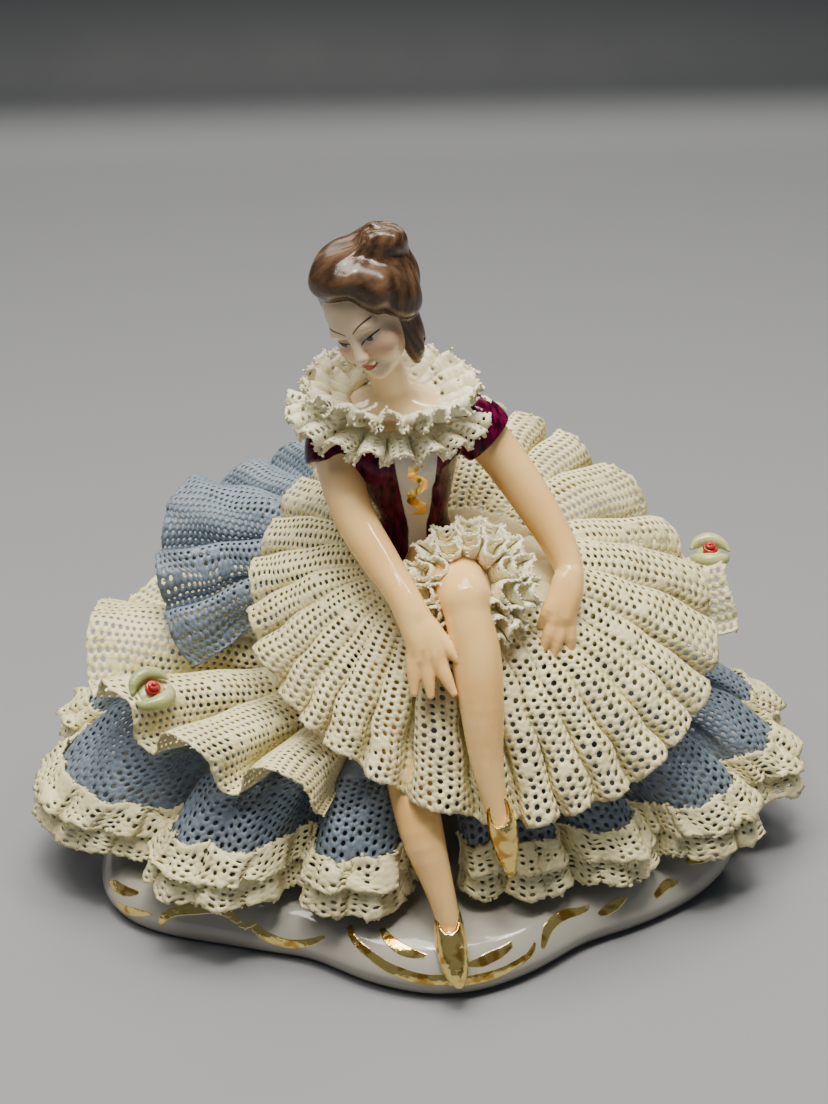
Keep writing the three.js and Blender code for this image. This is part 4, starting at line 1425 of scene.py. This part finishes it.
# The base: an outline swept by a profile of insets and heights. The back repeats the gilt strokes of the sides.
base = {
    "half": (72.5, 46),
    "squareness": 3.6,
    "lobeEdge": 59.5,
    "lobeAngle": math.radians(-86),
    "lobeSpread": math.radians(28),
    "waveReach": 1.2,
    "waves": 10,
    "profile": [(4, 0), (2.2, 0.3), (1, 1.5), (0, 4.5), (1.17, 7.25), (3.5, 10), (6.6, 11.3), (11, 12), (18, 12)],
    "sides": 360,
    "perSpan": 3,
    "lidRings": 5,
}
gilding = {
    "width": 1.2,
    "lobeStrokesWithin": 18,
    "strokes": [
        [(-69, -27.4, 7.4), (-67.7, -29.3, 7.8), (-65, -31.9, 8.3), (-62.6, -33.2, 9.1)],
        [(-67.7, -31.5, 5), (-65.7, -33.8, 4.7), (-63.8, -35, 5.3), (-59.9, -36.9, 6.3)],
        [(-57.8, -38.5, 4.7), (-56.6, -38.2, 6.7), (-54.1, -38.3, 8.1), (-49.9, -38.9, 9), (-45.8, -39.6, 9.7)]
        + [(-43.2, -40.6, 9.3), (-41.2, -41.9, 8.4), (-39.2, -43.5, 6.9)],
        [(-37.8, -42.9, 8.3), (-36.3, -44.4, 6.9), (-34.4, -45.3, 6), (-31.8, -46.3, 5.3), (-29.1, -47.1, 5.3)]
        + [(-25.5, -47.9, 6.5), (-22.5, -48.3, 8.1)],
        [(-17.1, -48.3, 10.6), (-15.8, -51.5, 9.4), (-12.6, -54.4, 8.1), (-9.4, -56.7, 7), (-5.9, -58.3, 6.3)]
        + [(-2.2, -59.4, 5.8), (1.6, -60, 5.9), (6.6, -60.1, 5.4), (12.6, -58.8, 5.5), (17, -57, 6.1)]
        + [(20.5, -55.1, 7), (21.6, -53.4, 8.3)],
        [(-10.2, -50.2, 11.3), (-8.9, -52.6, 10.7), (-6.6, -54.8, 10.1), (-4.1, -56.1, 9.9), (-1.1, -57.1, 9.5)],
        [(7, -58.3, 8.4), (9.7, -57.9, 8.3), (11.8, -57.1, 8.6), (14.7, -55.8, 9), (17, -54.3, 9.7)],
        [(23.5, -53.4, 7.1), (24.1, -52, 8.3), (24.9, -50.4, 9.4), (26.9, -48.5, 10), (29.5, -46.9, 10)]
        + [(32.4, -45.8, 9.5), (34.8, -44.6, 9.6)],
        [(37, -45.3, 7.9), (39.8, -43.9, 8.4), (42.9, -42.2, 9.2)],
        [(49.9, -40.6, 7.6), (52.7, -38.3, 8.7), (55.4, -37.3, 8.1)],
        [(58.3, -33.1, 10.3), (61.6, -31.5, 9.7), (64.2, -29.8, 9.1), (66.2, -27.7, 9)],
    ],
}


def baseOutline(angle):
    offset = np.arctan2(np.sin(angle - base["lobeAngle"]), np.cos(angle - base["lobeAngle"]))
    lobe = (base["lobeEdge"] - base["half"][1]) * np.exp(-((offset / base["lobeSpread"]) ** 4))
    wave = base["waveReach"] * np.cos(base["waves"] * (angle - base["lobeAngle"]))
    return ovalReach(angle, base["half"], base["squareness"]) + lobe + wave


def strokeDistance(points, stroke, width):
    line = smoothCurve(stroke, 6)
    share = np.linspace(0, 1, len(line))
    widths = width * (0.35 + 0.65 * np.sin(math.pi * np.clip(share * 0.86 + 0.1, 0, 1)))  # thin at both ends
    nearest = np.full(len(points), farOff)
    for a, b, wide, wider in zip(line, line[1:], widths, widths[1:]):
        along = np.clip(((points - a) @ (b - a)) / max((b - a) @ (b - a), 1e-9), 0, 1)
        gapTo = np.linalg.norm(points - a - along[:, None] * (b - a), axis=1)
        nearest = np.minimum(nearest, gapTo - mix(wide, wider, along))
    return nearest


def makeBase():
    profile = smoothCurve(base["profile"], base["perSpan"])
    profile[:, 1] = np.clip(profile[:, 1], 0, baseTop)
    sides, lidRings = base["sides"], base["lidRings"]
    angle = np.linspace(0, fullTurn, sides, endpoint=False)
    reach = baseOutline(angle)[None, :] - profile[:, :1]
    inner = np.linspace(1, 0, lidRings + 2)[1:-1, None] * reach[-1:]
    reach = np.vstack([reach[:1] * 0.5, reach, inner])
    height = np.concatenate([[0], profile[:, 1], np.full(lidRings, baseTop)])
    rings = stacked(reach * np.cos(angle), reach * np.sin(angle), height[:, None])
    points = np.vstack([rings.reshape(-1, 3), vec(0, 0, 0), vec(0, 0, baseTop)])
    rows, around = len(height), np.arange(sides)
    following = (around + 1) % sides
    start = np.arange(rows - 1)[:, None] * sides
    above = start + sides
    corners = (start + around, start + following, above + following, above + around)
    quads = np.stack([part.ravel() for part in corners], 1)
    bottom = np.stack([np.full(sides, rows * sides), following, around], 1)
    lid = np.stack([np.full(sides, rows * sides + 1), above[-1] + around, above[-1] + following], 1)
    mask = np.full(len(points), farOff)
    for stroke in gilding["strokes"]:
        mask = np.minimum(mask, strokeDistance(points, stroke, gilding["width"]))
        if abs(stroke[0][0]) > gilding["lobeStrokesWithin"]:
            mirrored = [(x, -y, z) for x, y, z in stroke]
            mask = np.minimum(mask, strokeDistance(points, mirrored, gilding["width"]))
    piece = meshObject("porcelain_base", points, [quads, bottom, lid], {"gilding": mask})
    piece.data.materials.append(gildedPorcelain)
    settled(piece, "gilded_porcelain", "base")


makeBase()
print("base made")


# The stage: a grey floor that ends in a low dark wall, soft lamps overhead, one behind the wall for the gilding to
# mirror, and the camera where the photograph was taken from.
stage = {
    "depth": 470,
    "curve": 90,
    "wall": 240,
    "lampTone": (1.0, 0.95, 0.86),
    "lampAim": (0, -0.01, 0.06),
    "lamps": {  # place, size, watts
        "overhead": ((-0.05, 0.10, 1.05), (0.8, 0.6), 19.5),
        "window": ((0.02, -0.14, 1.15), (0.26, 0.14), 6.0),
        "room": ((0.1, 1.0, 0.66), (1.2, 0.45), 3.4),
        "doorway": ((-0.42, -0.25, 0.95), (0.12, 0.24), 1.6),
        "lamp": ((0.45, -0.05, 1.0), (0.12, 0.12), 1.6),
    },
    "skyTone": (0.52, 0.60, 0.70),
    "skyStrength": 0.15,
    "camera": {"at": (-0.0212, -0.3030, 0.2629), "pitch": 58, "yaw": -4, "lens": 54},
}


def floorFill(tree):
    tone = blended(noise(tree, 3.0), (0.222, 0.228, 0.240), (0.248, 0.255, 0.269))
    _, away, height = parts(objectPlace(tree))
    # painted shade: the floor darkens away from the camera, where the lamps' light falls off
    tone = blended(away.over(-0.10, 0.36), tone, (0.185, 0.192, 0.206))
    wall = blended(height.over(0.0005, 0.02), tone, (0.032, 0.035, 0.040))
    return {"Base Color": wall, "Roughness": noise(tree, 30.0) * 0.1 + 0.55}


def addLamp(name, place, size, power):
    light = bpy.data.lights.new(name, "AREA")
    light.shape = "RECTANGLE"
    light.size, light.size_y = size
    light.energy = power
    light.color = stage["lampTone"]
    lamp = bpy.data.objects.new(name, light)
    lamp.location = place
    aim = Vector(stage["lampAim"]) - lamp.location
    lamp.rotation_euler = aim.to_track_quat("-Z", "Y").to_euler()
    scene.collection.objects.link(lamp)


def makeStage():
    bend = np.linspace(0, math.pi / 2, 13)
    curve, depth = stage["curve"], stage["depth"]
    across = [-1600, *np.linspace(-900, depth - 60, 4), *(depth + curve * np.sin(bend)), depth + curve]
    level = [0, 0, 0, 0, 0, *(curve - curve * np.cos(bend)), stage["wall"]]
    left, right = (stacked(side, vec(*across), vec(*level)) for side in (-1900, 1900))
    count = len(level)
    rows = np.arange(count - 1)
    faces = np.stack([rows, rows + count, rows + count + 1, rows + 1], 1)
    floor = meshObject("floor", np.vstack([left, right]), [faces])
    floor.data.materials.append(finishOf("floorGrey", floorFill, **{"Specular IOR Level": 0.18}))
    for name, (place, size, power) in stage["lamps"].items():
        addLamp(name, place, size, power)
    world = bpy.data.worlds.new("softLight")
    world.use_nodes = True
    for slot, value in enumerate((stage["skyTone"], stage["skyStrength"])):
        plug(value, world.node_tree.nodes["Background"].inputs[slot])
    scene.world = world
    view = stage["camera"]
    camera = bpy.data.objects.new("camera", bpy.data.cameras.new("camera"))
    camera.data.lens = view["lens"]
    camera.data.sensor_width = 36
    camera.data.clip_start = 0.01
    camera.location = view["at"]
    camera.rotation_euler = (math.radians(view["pitch"]), 0, math.radians(view["yaw"]))
    scene.collection.objects.link(camera)
    scene.camera = camera


makeStage()
